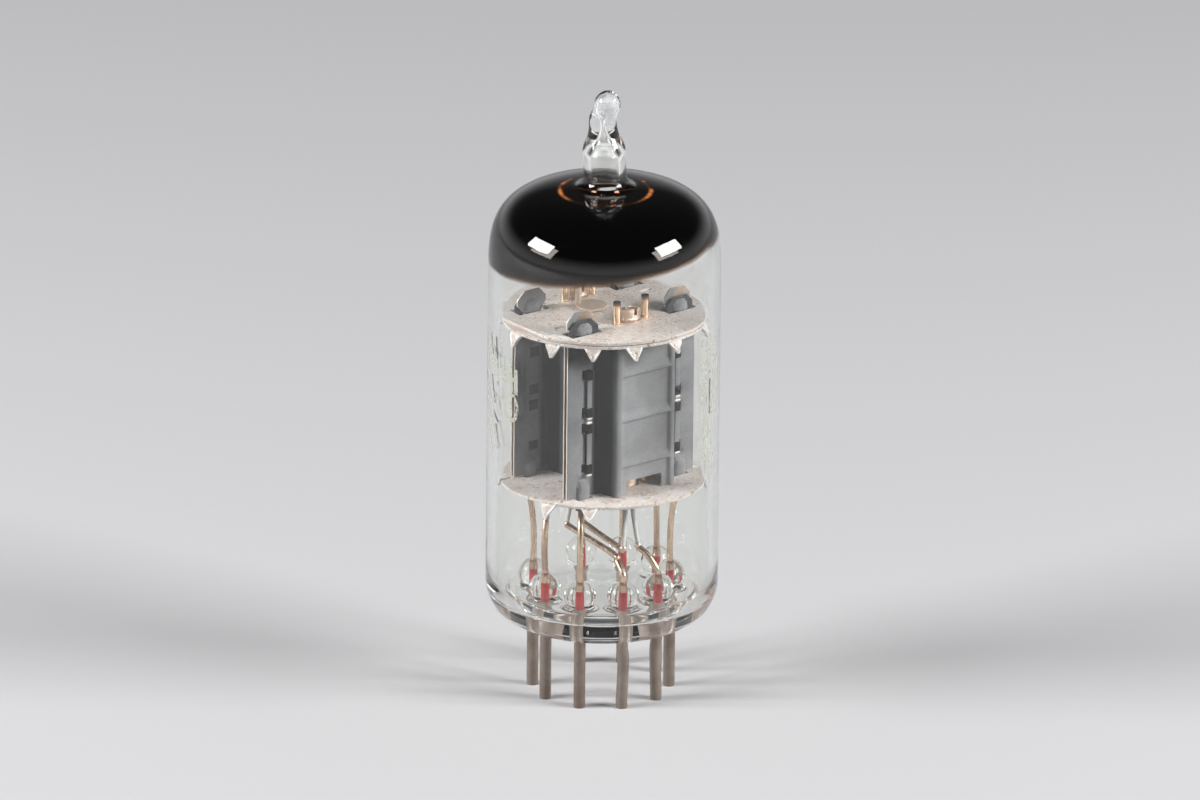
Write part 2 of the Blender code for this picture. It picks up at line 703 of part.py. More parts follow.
def add_ear(bm, frame):
    """The eight-sided lobe of an ear, whose lower edge lies at the frame's origin."""
    half, edge, thick = EAR_WIDTH / 2, EAR_EDGE / 2, SHEET * TAB_SHARE
    outline = [(-edge, 0.0), (edge, 0.0), (half, EAR_SHOULDER), (half, EAR_HEIGHT - EAR_SHOULDER),
               (edge, EAR_HEIGHT), (-edge, EAR_HEIGHT), (-half, EAR_HEIGHT - EAR_SHOULDER),
               (-half, EAR_SHOULDER)]
    corners = [frame @ Vector((across, -thick / 2, up)) for across, up in outline]
    add_outline(bm, corners, frame.to_3x3() @ Vector((0.0, thick, 0.0)))


def add_boss(bm, frame, width, bottom, top):
    """A half-round boss on a sheet, flat at the sheet's middle and round at its ends."""
    radius = width / 2
    made = bmesh.ops.create_uvsphere(bm, u_segments=BOSS_SIDES, v_segments=SPHERE_RINGS,
                                     radius=radius)
    squash = (BOSS_DEPTH + SHEET / 2) / radius
    for corner in made["verts"]:
        across, out, up = corner.co
        end = top - radius if up > -MERGE else bottom + radius
        corner.co = frame @ Vector((across, max(0.0, out * squash), end + up))


def anode_tools(prefix, side, carrier):
    """Ears, necks, lower tabs and half-round bosses of one anode half."""
    ears, necks, bosses = bmesh.new(), bmesh.new(), bmesh.new()
    half = EAR_NECK_WIDTH / 2
    thick = SHEET * TAB_SHARE / 2
    ear_bottom = PLAIN_MICA_TOP + (EAR_TOP_OUTER if side > 0 else EAR_TOP_INNER) - EAR_HEIGHT
    tab_end = LOWER_MICA_BOTTOM - TAB_BELOW - ANODE_BOTTOM
    for x in (-EAR_X, EAR_X):
        ear = sheet_frame(x, side, ear_bottom)
        add_ear(ears, ear)
        add_boss(bosses, ear, EAR_BOSS_WIDTH, EAR_BOSS_START, EAR_BOSS_END)
        top = sheet_frame(x, side, ANODE_TOP)
        add_box(necks, (-half, -thick * TAB_SHARE, -SHEET),
                (half, thick * TAB_SHARE, ear_bottom + SHEET / 2 - ANODE_TOP), top)
        foot = sheet_frame(x, side, ANODE_BOTTOM)
        add_box(necks, (-half, -thick, tab_end), (half, thick, SHEET), foot)
        add_boss(bosses, foot, FOOT_BOSS_WIDTH, tab_end / 2, FOOT_BOSS_HEIGHT)
    return [add_tool(prefix + "_necks", necks, carrier), add_tool(prefix + "_ears", ears, carrier),
            add_tool(prefix + "_bosses", bosses, carrier)]


def add_staples(bm):
    """Bridges lanced out of the inner half, which stand through the outer half's fins."""
    inner = SYSTEM_OFFSET - FIN_PLANE
    outer = SYSTEM_OFFSET + FIN_GAP / 2 + SHEET + STAPLE_PROUD
    under = outer - STAPLE_PROUD + FIT_GAP
    bar = outer - STAPLE_RECESS
    for x in (-STAPLE_X, STAPLE_X):
        for low, high in STAPLE_SPANS:
            bar_low, bar_high = low + STAPLE_END, high - STAPLE_END
            outline = [(inner, low), (outer, low), (outer, bar_low), (bar, bar_low),
                       (bar, bar_high), (outer, bar_high), (outer, high), (inner, high),
                       (inner, bar_high), (under, bar_high), (under, bar_low), (inner, bar_low)]
            corners = [(x - STAPLE_WIDTH / 2, y, ANODE_BOTTOM + z) for y, z in outline]
            add_outline(bm, corners, (STAPLE_WIDTH, 0, 0))


def add_staple_slots(bm):
    """Slots of the outer half's fins that the staples pass through, with their spare side."""
    reach = FIN_GAP / 2 + SHEET * 2
    for side in (-1, 1):
        near = side * (STAPLE_X - STAPLE_WIDTH / 2 - FIT_GAP)
        far = side * (STAPLE_X + STAPLE_WIDTH / 2 + STAPLE_SLOT_SPARE)
        for low, high in STAPLE_SPANS:
            for bottom, top in ((low, low + STAPLE_END), (high - STAPLE_END, high)):
                add_box(bm, (min(near, far), SYSTEM_OFFSET, ANODE_BOTTOM + bottom - FIT_GAP),
                        (max(near, far), SYSTEM_OFFSET + reach, ANODE_BOTTOM + top + FIT_GAP))


def make_anode_half(name, side, carrier):
    """Side +1 is the half that faces the glass, side -1 the one that faces the axis."""
    mesh = bpy.data.meshes.new(name)
    bm = pressed_sheet(side)
    bm.to_mesh(mesh)
    bm.free()
    half = add_object(name, mesh, carbonised_nickel(), carrier)
    thicken(half, SHEET)
    for tool in anode_tools(name, side, carrier):
        combine(half, tool, "UNION")
    cuts = bmesh.new()
    wall = sorted((side * FACE_DEPTH / 2, side * (FACE_DEPTH + SHEET)))
    add_box(cuts, (-NOTCH_WIDTH / 2, SYSTEM_OFFSET + wall[0], ANODE_BOTTOM - SHEET),
            (NOTCH_WIDTH / 2, SYSTEM_OFFSET + wall[1], ANODE_BOTTOM + NOTCH_HEIGHT))
    if side > 0:
        add_staple_slots(cuts)
        combine(half, add_tool(name + "_cuts", cuts, carrier), "DIFFERENCE")
        return half
    combine(half, add_tool(name + "_cuts", cuts, carrier), "DIFFERENCE")
    staples = bmesh.new()
    add_staples(staples)
    combine(half, add_tool(name + "_staples", staples, carrier), "UNION")
    return half


def make_grid(prefix, carrier):
    """Two side rods and the wire wound round them."""
    for word, side in (("left", 1), ("right", -1)):
        x = side * ROD_HALF_SPACING
        ends = [(x, SYSTEM_OFFSET, LOWER_MICA_BOTTOM - ROD_BELOW),
                (x, SYSTEM_OFFSET, PLAIN_MICA_TOP + ROD_ABOVE)]
        wire(f"{prefix}_grid_rod_{word}", ends, ROD_DIAMETER, gilt_copper(), carrier)
    reach = ROD_HALF_SPACING + ROD_DIAMETER / 2 + WINDING_WIRE / 2 + WINDING_CLEARANCE
    length = ANODE_HEIGHT - 2 * NOTCH_HEIGHT
    steps = WINDING_TURNS * TURN_STEPS
    points = []
    for step in range(steps + 1):
        angle = math.tau * step / TURN_STEPS
        rise = length * step / steps
        points.append((reach * math.cos(angle), SYSTEM_OFFSET + WINDING_HALF_DEPTH * math.sin(angle),
                       ANODE_BOTTOM + NOTCH_HEIGHT + rise))
    wire(f"{prefix}_grid_winding", points, WINDING_WIRE, gilt_copper(), carrier, resolution=0)


def make_cathode(prefix, carrier):
    """The oval sleeve, open at both ends, that the heater warms."""
    bottom = LOWER_MICA_BOTTOM - CATHODE_BELOW
    top = PLAIN_MICA_TOP + CATHODE_ABOVE
    bm = bmesh.new()
    shape = Matrix.Diagonal((1.0, CATHODE_DEPTH / CATHODE_WIDTH, 1.0, 1.0))
    bmesh.ops.create_cone(bm, cap_ends=False, segments=SLEEVE_SIDES, radius1=CATHODE_WIDTH / 2,
                          radius2=CATHODE_WIDTH / 2, depth=top - bottom,
                          matrix=Matrix.Translation((0, SYSTEM_OFFSET, (top + bottom) / 2)) @ shape)
    mesh = bpy.data.meshes.new(f"{prefix}_cathode")
    bm.to_mesh(mesh)
    bm.free()
    sleeve = add_object(f"{prefix}_cathode", mesh, cathode_nickel(), carrier)
    thicken(sleeve, CATHODE_WALL, offset=-1.0)


def make_heater(prefix, carrier):
    """The coated hairpin inside the cathode, whose legs spread below the lower mica."""
    top = PLAIN_MICA_TOP + CATHODE_ABOVE - HEATER_TOP_DROP
    mouth = LOWER_MICA_BOTTOM - CATHODE_BELOW
    x, spread = HEATER_HALF_SPACING, HEATER_LEG_SPREAD
    leg = [(spread, SYSTEM_OFFSET + HEATER_LEG_OUT, HEATER_END), (x, SYSTEM_OFFSET, mouth),
           (x, SYSTEM_OFFSET, top - x), (x / 2, SYSTEM_OFFSET, top)]
    points = leg + [(-across, out, height) for across, out, height in leg[::-1]]
    wire(f"{prefix}_heater", points, HEATER_DIAMETER, white_alumina(), carrier)


def lead_points(start, end, knees):
    """A lead from a pin's place to its weld; a knee is a share of the way across and up."""
    points = [Vector((*start, LEAD_BOTTOM)), Vector((*start, BEAD_Z))]
    foot = points[-1]
    points += [Vector((foot.x + (end.x - foot.x) * across, foot.y + (end.y - foot.y) * across,
                       foot.z + (end.z - foot.z) * up)) for across, up in knees]
    return points + [end]


def heater_weld(turn, side, drop=0.0):
    """The place just under a heater leg's end."""
    below = LEAD_DIAMETER / 2 + HEATER_WELD_GAP + drop
    return system_point(turn, side * HEATER_LEG_SPREAD, HEATER_LEG_OUT, HEATER_END - below)


def anode_weld(turn, side):
    """The place just under the ends of an anode's lower tabs."""
    return system_point(turn, side * EAR_X, 0.0, LOWER_MICA_BOTTOM - TAB_BELOW - FIT_GAP)


def grid_weld(turn, side):
    """Beside the lower end of a grid rod, towards the tube's wall."""
    away = (ROD_DIAMETER + LEAD_DIAMETER) / 2 + FIT_GAP
    return system_point(turn, side * (ROD_HALF_SPACING + away), 0.0,
                        LOWER_MICA_BOTTOM - ROD_BELOW / 2)


def cathode_weld(turn):
    """Beside the lower end of a cathode, towards the axis."""
    away = (CATHODE_DEPTH + LEAD_DIAMETER) / 2 + FIT_GAP
    return system_point(turn, 0.0, -away, LOWER_MICA_BOTTOM - CATHODE_BELOW / 2)


def make_leads():
    """The nine leads from the stem to the pieces of the cage, and the heater link."""
    link_drop = LEAD_DIAMETER + FIT_GAP
    routes = [
        (anode_weld(BACK_TURN, -1), ((0.05, 0.5),)),
        (grid_weld(BACK_TURN, -1), ((-0.08, 0.3), (-0.06, 0.5), (0.1, 0.75), (0.5, 0.93))),
        (cathode_weld(BACK_TURN), ((0.02, 0.25), (0.08, 0.55), (0.2, 0.75), (0.5, 0.92))),
        (heater_weld(BACK_TURN, -1), ((0.0, 0.35), (0.1, 0.75), (0.2, 0.95))),
        (heater_weld(FRONT_TURN, -1), ((0.1, 0.3), (0.55, 0.75))),
        (anode_weld(FRONT_TURN, -1), ((0.05, 0.5),)),
        (grid_weld(FRONT_TURN, -1), ((0.03, 0.5), (0.3, 0.85))),
        (cathode_weld(FRONT_TURN), ((0.05, 0.45), (0.4, 0.9))),
        (heater_weld(BACK_TURN, 1, link_drop), ((0.1, 0.5), (0.5, 0.85))),
    ]
    for number, (end, knees) in enumerate(routes, 1):
        points = lead_points(pin_place(number), end, knees)
        wire(f"lead_wire_{number}", points, LEAD_DIAMETER, lead_nickel())
    link = [heater_weld(FRONT_TURN, 1), heater_weld(BACK_TURN, 1)]
    wire("heater_link", link, LEAD_DIAMETER, lead_nickel())


def make_getter():
    """The getter ring under the dome and the post that carries it on the plain mica."""
    x, y = GETTER_FOOT_PLACE
    foot_top = PLAIN_MICA_TOP + FIT_GAP + SHEET
    bm = bmesh.new()
    add_rod(bm, GETTER_FOOT_RADIUS, PLAIN_MICA_TOP + FIT_GAP, foot_top, x, y, HOLE_SIDES)
    mesh = bpy.data.meshes.new("getter_support")
    bm.to_mesh(mesh)
    bm.free()
    support = add_object("getter_support", mesh, cathode_nickel())
    ring_z = PLAIN_MICA_TOP + GETTER_HEIGHT
    post = bmesh.new()
    ring_bottom = ring_z - GETTER_WIRE / 2 - FIT_GAP
    reach = Vector((x, y)).normalized() * GETTER_RING_RADIUS
    add_rod(post, GETTER_POST_DIAMETER / 2, PLAIN_MICA_TOP + FIT_GAP + SHEET / 2, ring_bottom,
            reach.x, reach.y, HOLE_SIDES)
    combine(support, add_tool("getter_post", post), "UNION")
    bpy.ops.mesh.primitive_torus_add(major_segments=RING_SIDES, minor_segments=HOLE_SIDES,
                                     major_radius=GETTER_RING_RADIUS,
                                     minor_radius=GETTER_WIRE / 2, location=(0, 0, ring_z))
    ring = bpy.context.object
    ring.name = "getter_ring"
    ring.data.materials.append(cathode_nickel())
    for group in list(ring.users_collection):
        group.objects.unlink(ring)
    TUBE.objects.link(ring)


def make_system(prefix, turn):
    """One triode system: anode, grid, cathode and heater."""
    carrier = add_system(f"{prefix}_system", turn)
    make_anode_half(f"{prefix}_anode_outer", 1, carrier)
    make_anode_half(f"{prefix}_anode_inner", -1, carrier)
    make_grid(prefix, carrier)
    make_cathode(prefix, carrier)
    make_heater(prefix, carrier)


make_bulb()
make_stem()
make_getter_film()
for pin_number in range(1, PIN_COUNT + 1):
    make_pin_column(pin_number)
make_mica("lower_mica", LOWER_MICA_BOTTOM, EAR_NECK_WIDTH, LOWER_TEETH, LOWER_SLITS)
make_mica("upper_mica_toothed", TOOTHED_MICA_BOTTOM, EAR_WIDTH, UPPER_TEETH)
cut_flats(make_mica("upper_mica_plain", PLAIN_MICA_BOTTOM, EAR_WIDTH, slits=PLAIN_SLITS))
make_system("front", FRONT_TURN)
make_system("back", BACK_TURN)
make_leads()
make_getter()
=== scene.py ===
# %% [markdown]
# # A small glass vacuum tube
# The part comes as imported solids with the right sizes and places. This script dresses them:
# it loads the solids as a fixed frame, and builds a finer piece over each one, with a finish
# made of shader nodes. Sizes are read from the frame wherever a solid already has them.
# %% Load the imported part
import math

import bmesh
import bpy
from mathutils import Matrix, Vector, noise


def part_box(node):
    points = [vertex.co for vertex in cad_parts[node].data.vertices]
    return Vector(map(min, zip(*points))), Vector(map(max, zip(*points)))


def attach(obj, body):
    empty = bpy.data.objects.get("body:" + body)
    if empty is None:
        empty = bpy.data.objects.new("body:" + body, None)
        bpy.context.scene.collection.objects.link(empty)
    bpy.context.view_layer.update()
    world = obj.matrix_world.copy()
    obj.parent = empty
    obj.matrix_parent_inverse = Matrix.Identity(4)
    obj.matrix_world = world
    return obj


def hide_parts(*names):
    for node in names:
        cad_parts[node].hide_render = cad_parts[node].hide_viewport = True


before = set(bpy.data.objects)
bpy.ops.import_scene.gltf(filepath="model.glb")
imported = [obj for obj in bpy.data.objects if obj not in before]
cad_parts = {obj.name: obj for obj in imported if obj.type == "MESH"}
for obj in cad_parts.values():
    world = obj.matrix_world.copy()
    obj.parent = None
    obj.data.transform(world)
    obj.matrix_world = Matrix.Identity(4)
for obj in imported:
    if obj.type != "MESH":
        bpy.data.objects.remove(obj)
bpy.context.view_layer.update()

# %% [markdown]
# ## Sizes
# A few sizes decide all others. The bulb's radius, the seat's height and the heights of the
# micas come from the solids' boxes, so a piece can't drift away from the solid it stands for.
# %% Sizes read from the frame
MM = 0.001


def low_of(node):
    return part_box(node)[0]


def high_of(node):
    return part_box(node)[1]


def middle_of(node):
    low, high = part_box(node)
    return (low + high) / 2


BULB_RADIUS = high_of("glass_bulb").x
SEAT_Z = low_of("button_stem").z
TIP_TOP = high_of("glass_bulb").z
LOWER_MICA_TOP = high_of("lower_mica").z
PLAIN_MICA_TOP = high_of("upper_mica_plain").z
PLAIN_MICA_BOTTOM = low_of("upper_mica_plain").z
TOOTHED_MICA_TOP = high_of("upper_mica_toothed").z
MICA_RADIUS = high_of("upper_mica_plain").x
PIN_PLACES = [middle_of(f"base_pin_{n}").to_2d() for n in range(1, 10)]
PIN_DIAMETER = high_of("base_pin_1").x - low_of("base_pin_1").x
PIN_TOP = high_of("base_pin_1").z
SEAL_TOP = high_of("seal_wire_1").z
FIT_GAP = 0.05 * MM             # left between pieces that are welded or clinched in the real tube
print("bulb radius", round(BULB_RADIUS / MM, 2), "mica radius", round(MICA_RADIUS / MM, 2))

# %% [markdown]
# ## The camera comes first
# The picture was taken from a little above, with a long lens from far away, so upright lines
# stay parallel. A very long focal length from nearly three metres gives the same flat view.
# %% Camera
CAMERA_RISE = math.radians(20.0)
CAMERA_ROLL = math.radians(0.56)
CAMERA_DISTANCE = 2.7
VIEW_WIDTH = 104.3 * MM         # what the picture's width covers at the tube
VIEW_MIDDLE = Vector((-0.29 * MM, 0.0, 26.36 * MM))
SENSOR_WIDTH = 36.0


def link_new(name, data):
    """A new object around the data, linked to the scene."""
    thing = bpy.data.objects.new(name, data)
    bpy.context.collection.objects.link(thing)
    return thing


def make_camera():
    """A camera that looks along +Y and down, rolled as the picture is."""
    data = bpy.data.cameras.new("camera")
    data.sensor_width = SENSOR_WIDTH
    data.lens = SENSOR_WIDTH * CAMERA_DISTANCE / VIEW_WIDTH
    camera = link_new("camera", data)
    back = Vector((0.0, -math.cos(CAMERA_RISE), math.sin(CAMERA_RISE)))
    look = (-back).to_track_quat("-Z", "Y").to_matrix().to_4x4()
    place = Matrix.Translation(VIEW_MIDDLE + back * CAMERA_DISTANCE)
    camera.matrix_world = place @ look @ Matrix.Rotation(CAMERA_ROLL, 4, "Z")
    data.clip_start = CAMERA_DISTANCE / 100
    bpy.context.scene.camera = camera
    return camera


camera = make_camera()
print("lens in mm:", round(camera.data.lens))

# %% [markdown]
# ## Light
# Two tilted softboxes stand to the left and right, a little in front. On the dark dome each
# shows as a small bright window. The room is pale at the horizon and dim overhead, so the dome
# mirrors a dark ceiling while the lower glass gathers cream from the floor.
# %% World and softboxes
scene = bpy.context.scene
scene.view_settings.view_transform = "Standard"
FILL_LEVEL = 0.12
ROOM_LEVEL = 0.80
CEILING_LEVEL = 0.05
CEILING_START = math.sin(math.radians(2))
CEILING_FULL = math.sin(math.radians(22))
SOFTBOX_SIZE = (0.24, 0.17)
SOFTBOX_POWER = 3.0
SOFTBOX_AIMS = {"softbox_left": (-0.85, -0.24, 0.47), "softbox_right": (0.86, -0.26, 0.45)}
SOFTBOX_DISTANCE = 0.52


def blend(nodes, links, share, first, second):
    """A Mix node between two numbers or sockets."""
    mix = nodes.new("ShaderNodeMix")
    for socket, source in ((mix.inputs["Factor"], share), (mix.inputs["A"], first),
                           (mix.inputs["B"], second)):
        if isinstance(source, float):
            socket.default_value = source
        else:
            links.new(source, socket)
    return mix.outputs["Result"]


def make_world():
    """A low even fill; mirrors and glass see the room, the camera its pale level."""
    world = bpy.data.worlds.new("studio")
    scene.world = world
    world.use_nodes = True
    nodes, links = world.node_tree.nodes, world.node_tree.links
    background = nodes["Background"]
    background.inputs["Color"].default_value = (0.97, 0.97, 1.0, 1.0)
    path = nodes.new("ShaderNodeLightPath")
    way = nodes.new("ShaderNodeSeparateXYZ")
    links.new(nodes.new("ShaderNodeTexCoord").outputs["Generated"], way.inputs[0])
    room = nodes.new("ShaderNodeMapRange")
    room.interpolation_type = "SMOOTHSTEP"
    for socket, value in (("From Min", CEILING_START), ("From Max", CEILING_FULL),
                          ("To Min", ROOM_LEVEL), ("To Max", CEILING_LEVEL)):
        room.inputs[socket].default_value = value
    links.new(way.outputs["Z"], room.inputs["Value"])
    mirrored = nodes.new("ShaderNodeMath")
    mirrored.operation = "ADD"
    mirrored.use_clamp = True
    links.new(path.outputs["Is Glossy Ray"], mirrored.inputs[0])
    links.new(path.outputs["Is Transmission Ray"], mirrored.inputs[1])
    level = blend(nodes, links, mirrored.outputs[0], FILL_LEVEL, room.outputs["Result"])
    level = blend(nodes, links, path.outputs["Is Camera Ray"], level, ROOM_LEVEL)
    links.new(level, background.inputs["Strength"])


def make_softbox(name, aim):
    data = bpy.data.lights.new(name, "AREA")
    data.shape = "RECTANGLE"
    data.size, data.size_y = SOFTBOX_SIZE
    data.energy = SOFTBOX_POWER
    light = link_new(name, data)
    away = Vector(aim).normalized()
    light.location = VIEW_MIDDLE + away * SOFTBOX_DISTANCE
    light.rotation_euler = (-away).to_track_quat("-Z", "Y").to_euler()
    return light


make_world()
for name, aim in SOFTBOX_AIMS.items():
    make_softbox(name, aim)
print("softboxes:", len(SOFTBOX_AIMS))

# %% [markdown]
# ## Shader helpers
# Every finish starts from the same shader and adds patterns that read Object coordinates, so
# they sit still on the piece. The helpers keep each finish down to a few lines.
# %% Shader helpers


def new_finish(name, colour, roughness, metallic=0.0):
    """A material with its Principled shader set, and its node tree."""
    material = bpy.data.materials.new(name)
    material.use_nodes = True
    shader = material.node_tree.nodes["Principled BSDF"]
    shader.inputs["Base Color"].default_value = (*colour, 1.0)
    shader.inputs["Roughness"].default_value = roughness
    shader.inputs["Metallic"].default_value = metallic
    return material, shader


def add_node(material, kind, **values):
    """A shader node, with inputs set by name."""
    node = material.node_tree.nodes.new("ShaderNode" + kind)
    for key, value in values.items():
        node.inputs[key.replace("_", " ")].default_value = value
    return node


def join(material, output, socket):
    material.node_tree.links.new(output, socket)


def object_place(material):
    return add_node(material, "TexCoord").outputs["Object"]


def grain(material, scale, detail=3.0, stretch=(1, 1, 1), roughness=0.55):
    """A noise pattern on the piece, in units of one over metres."""
    mapping = add_node(material, "Mapping", Scale=stretch)
    join(material, object_place(material), mapping.inputs["Vector"])
    pattern = add_node(material, "TexNoise", Scale=scale, Detail=detail, Roughness=roughness)
    join(material, mapping.outputs["Vector"], pattern.inputs["Vector"])
    return pattern.outputs["Fac"]


def ramp(material, source, stops):
    """A colour ramp; each stop is a place and a colour."""
    node = add_node(material, "ValToRGB")
    elements = node.color_ramp.elements
    while len(elements) < len(stops):
        elements.new(0.5)
    for element, (place, colour) in zip(elements, stops):
        element.position = place
        element.color = (*colour, 1.0)
    join(material, source, node.inputs["Fac"])
    return node.outputs["Color"]


def remap(material, source, low, high, to_low=0.0, to_high=1.0):
    node = add_node(material, "MapRange", From_Min=low, From_Max=high, To_Min=to_low,
                    To_Max=to_high)
    join(material, source, node.inputs["Value"])
    return node.outputs["Result"]


def spotted(material, spots, base, colour):
    """The base with a plain colour laid over it where the spots are one."""
    mixed = material.node_tree.nodes.new("ShaderNodeMix")
    mixed.data_type = "RGBA"
    join(material, spots, mixed.inputs["Factor"])
    join(material, base, mixed.inputs["A"])
    mixed.inputs["B"].default_value = (*colour, 1.0)
    return mixed.outputs["Result"]


def math_of(material, first, second, operation="ADD"):
    """A Math node on two sockets, or on a socket and a number; it adds unless told otherwise."""
    node = add_node(material, "Math")
    node.operation = operation
    for socket, source in zip(node.inputs, (first, second)):
        if isinstance(source, (int, float)):
            socket.default_value = source
        else:
            join(material, source, socket)
    return node.outputs[0]


def axis_of(material, letter):
    """One of the Object coordinates."""
    split = add_node(material, "SeparateXYZ")
    join(material, object_place(material), split.inputs[0])
    return split.outputs[letter]


def bumps(material, shader, source, height, strength=1.0):
    node = add_node(material, "Bump", Strength=strength, Distance=height)
    join(material, source, node.inputs["Height"])
    join(material, node.outputs["Normal"], shader.inputs["Normal"])


print("shader helpers ready")

# %% [markdown]
# ## The floor
# A plain pale floor that keeps the tube's shadow. It is far larger than the view, so no edge
# of it shows from the side either. It sends no light back up, for the fill already does. Far
# from the lamps it would be dark, so mirrors and glass see it there at its near brightness.
# %% Floor
FLOOR_RADIUS = 4.0
FLOOR_SIDES = 96
FAR_FLOOR = (0.2, 0.8)          # distances over which the far floor takes its own light
FAR_LEVEL = 0.42


def mesh_of(name, bm, finishes=()):
    """Turn a bmesh into a mesh with its finishes, and free the bmesh."""
    mesh = bpy.data.meshes.new(name)
    bm.to_mesh(mesh)
    bm.free()
    for finish in finishes:
        mesh.materials.append(finish)
    return mesh


def make_floor():
    bm = bmesh.new()
    bmesh.ops.create_circle(bm, cap_ends=True, segments=FLOOR_SIDES, radius=FLOOR_RADIUS)
    mesh = mesh_of("floor", bm)
    floor = link_new("floor", mesh)
    material, shader = new_finish("floor_paper", (0.62, 0.62, 0.63), 0.9)
    bumps(material, shader, grain(material, 900.0), 0.05 * MM, 0.2)
    distance = add_node(material, "VectorMath")
    distance.operation = "LENGTH"
    join(material, object_place(material), distance.inputs[0])
    far = remap(material, distance.outputs["Value"], *FAR_FLOOR, 0.0, FAR_LEVEL)
    path = add_node(material, "LightPath")
    mirrored = math_of(material, path.outputs["Is Glossy Ray"],
                       path.outputs["Is Transmission Ray"])
    glow = math_of(material, far, mirrored, "MULTIPLY")
    join(material, glow, shader.inputs["Emission Strength"])
    shader.inputs["Emission Color"].default_value = (1.0, 1.0, 1.0, 1.0)
    mesh.materials.append(material)
    floor.visible_diffuse = False
    return floor


make_floor()
print("floor radius in m:", FLOOR_RADIUS)

# %% [markdown]
# ## Mesh helpers
# Three kinds of shape make nearly the whole tube: bodies of revolution, such as the glass;
# thin sheets that are bent by a rule, such as the anodes; and round wires along a path.
# %% Mesh helpers
MERGE_DISTANCE = 0.0001 * MM
EDGE_BEVEL = 0.02 * MM          # how far the edges of thin sheet are rounded
SOFT_ANGLE = math.radians(60)   # edges that turn by less than this stay as they are


def add_piece(name, mesh, nodes=()):
    """Link a finished mesh, let it ride on the part and hide the solids it stands for."""
    piece = link_new(name, mesh)
    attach(piece, "root")
    if nodes:
        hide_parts(*nodes)
    return piece


def grid_mesh(name, rows):
    """A mesh through closed rows of points; a row of one point is a pole."""
    bm = bmesh.new()
    lines = [[bm.verts.new(point) for point in row] for row in rows]
    for one, two in zip(lines, lines[1:]):
        count = max(len(one), len(two))
        for i in range(count):
            j = (i + 1) % count
            if len(one) == 1:
                bm.faces.new((one[0], two[j], two[i]))
            elif len(two) == 1:
                bm.faces.new((one[i], one[j], two[0]))
            else:
                bm.faces.new((one[i], one[j], two[j], two[i]))
    bmesh.ops.recalc_face_normals(bm, faces=bm.faces)
    mesh = mesh_of(name, bm)
    mesh.shade_smooth()
    return mesh


def turned_rows(profile, sides):
    """Rows of points that turn a profile of radius and height about the tube's axis."""
    rows = []
    for radius, height in profile:
        if radius < 1e-9:
            rows.append([Vector((0.0, 0.0, height))])
            continue
        angles = [math.tau * i / sides for i in range(sides)]
        rows.append([Vector((radius * math.cos(a), radius * math.sin(a), height)) for a in angles])
    return rows


def smooth_line(points, steps):
    """A smooth curve through the points, with a few steps between each two."""
    points = [Vector(point) for point in points]
    first = points[0] * 2 - points[1]
    last = points[-1] * 2 - points[-2]
    padded = [first] + points + [last]
    line = []
    for a, b, c, d in zip(padded, padded[1:], padded[2:], padded[3:]):
        for step in range(steps):
            t = step / steps
            line.append((b * 2 + (c - a) * t + (a * 2 - b * 5 + c * 4 - d) * t ** 2
                         + (b * 3 - a - c * 3 + d) * t ** 3) / 2)
    line.append(points[-1])
    return line


def seam_closed(mesh, distance=MERGE_DISTANCE):
    """The mesh with doubled points merged and its faces turned outwards."""
    bm = bmesh.new()
    bm.from_mesh(mesh)
    bmesh.ops.remove_doubles(bm, verts=bm.verts, dist=distance)
    bmesh.ops.recalc_face_normals(bm, faces=bm.faces)
    bm.to_mesh(mesh)
    bm.free()
    return mesh


def modify(piece, kind, **values):
    """Add a modifier and set its values."""
    modifier = piece.modifiers.new(kind.lower(), kind)
    for key, value in values.items():
        setattr(modifier, key, value)
    return modifier


def soften(piece, width, segments=2):
    """Round off the sharp edges of a sheet or a bar."""
    modify(piece, "BEVEL", width=width, segments=segments, limit_method="ANGLE",
           angle_limit=SOFT_ANGLE)


def baked(name, piece):
    """The piece with its modifiers worked in, as a plain mesh; the piece itself goes away."""
    graph = bpy.context.evaluated_depsgraph_get()
    mesh = bpy.data.meshes.new_from_object(piece.evaluated_get(graph), depsgraph=graph)
    mesh.name = name
    bpy.data.objects.remove(piece, do_unlink=True)
    return mesh


def placed(name, piece, place):
    """The baked mesh of a piece, smooth and moved to its place."""
    mesh = baked(name, piece)
    mesh.transform(place)
    mesh.shade_smooth()
    return mesh


def joined(parts):
    """One bmesh of several meshes, which go away."""
    bm = bmesh.new()
    for part in parts:
        bm.from_mesh(part)
        bpy.data.meshes.remove(part)
    return bm


def smooth_step(share):
    """From nought to one with a soft start and end."""
    share = min(max(share, 0.0), 1.0)
    return share * share * (3 - 2 * share)


print("mesh helpers ready")

# %% [markdown]
# ## The glass
# Bulb, exhaust tip and stem are fused in the flame, so they are one piece of glass here. It has
# an outer skin, from the tip down the wall and under the base, and the skin of the hollow inside
# it. Light bends right only if no stray gap parts the two solids.
# %% Outside of the glass
GLASS_OUTSIDE = BULB_RADIUS - 0.02 * MM
GLASS_WALL = 0.95 * MM
BASE_ROUND = 3.5 * MM
DOME_START = SEAT_Z + 31.9 * MM
DOME_RISE = 7.8 * MM
DOME_POWER = 3.3
DOME_TOP = DOME_START + DOME_RISE
DOME_STEPS = 40
FLARE_GAP = 0.1 * MM            # left between the tip's flare and the first point of the dome
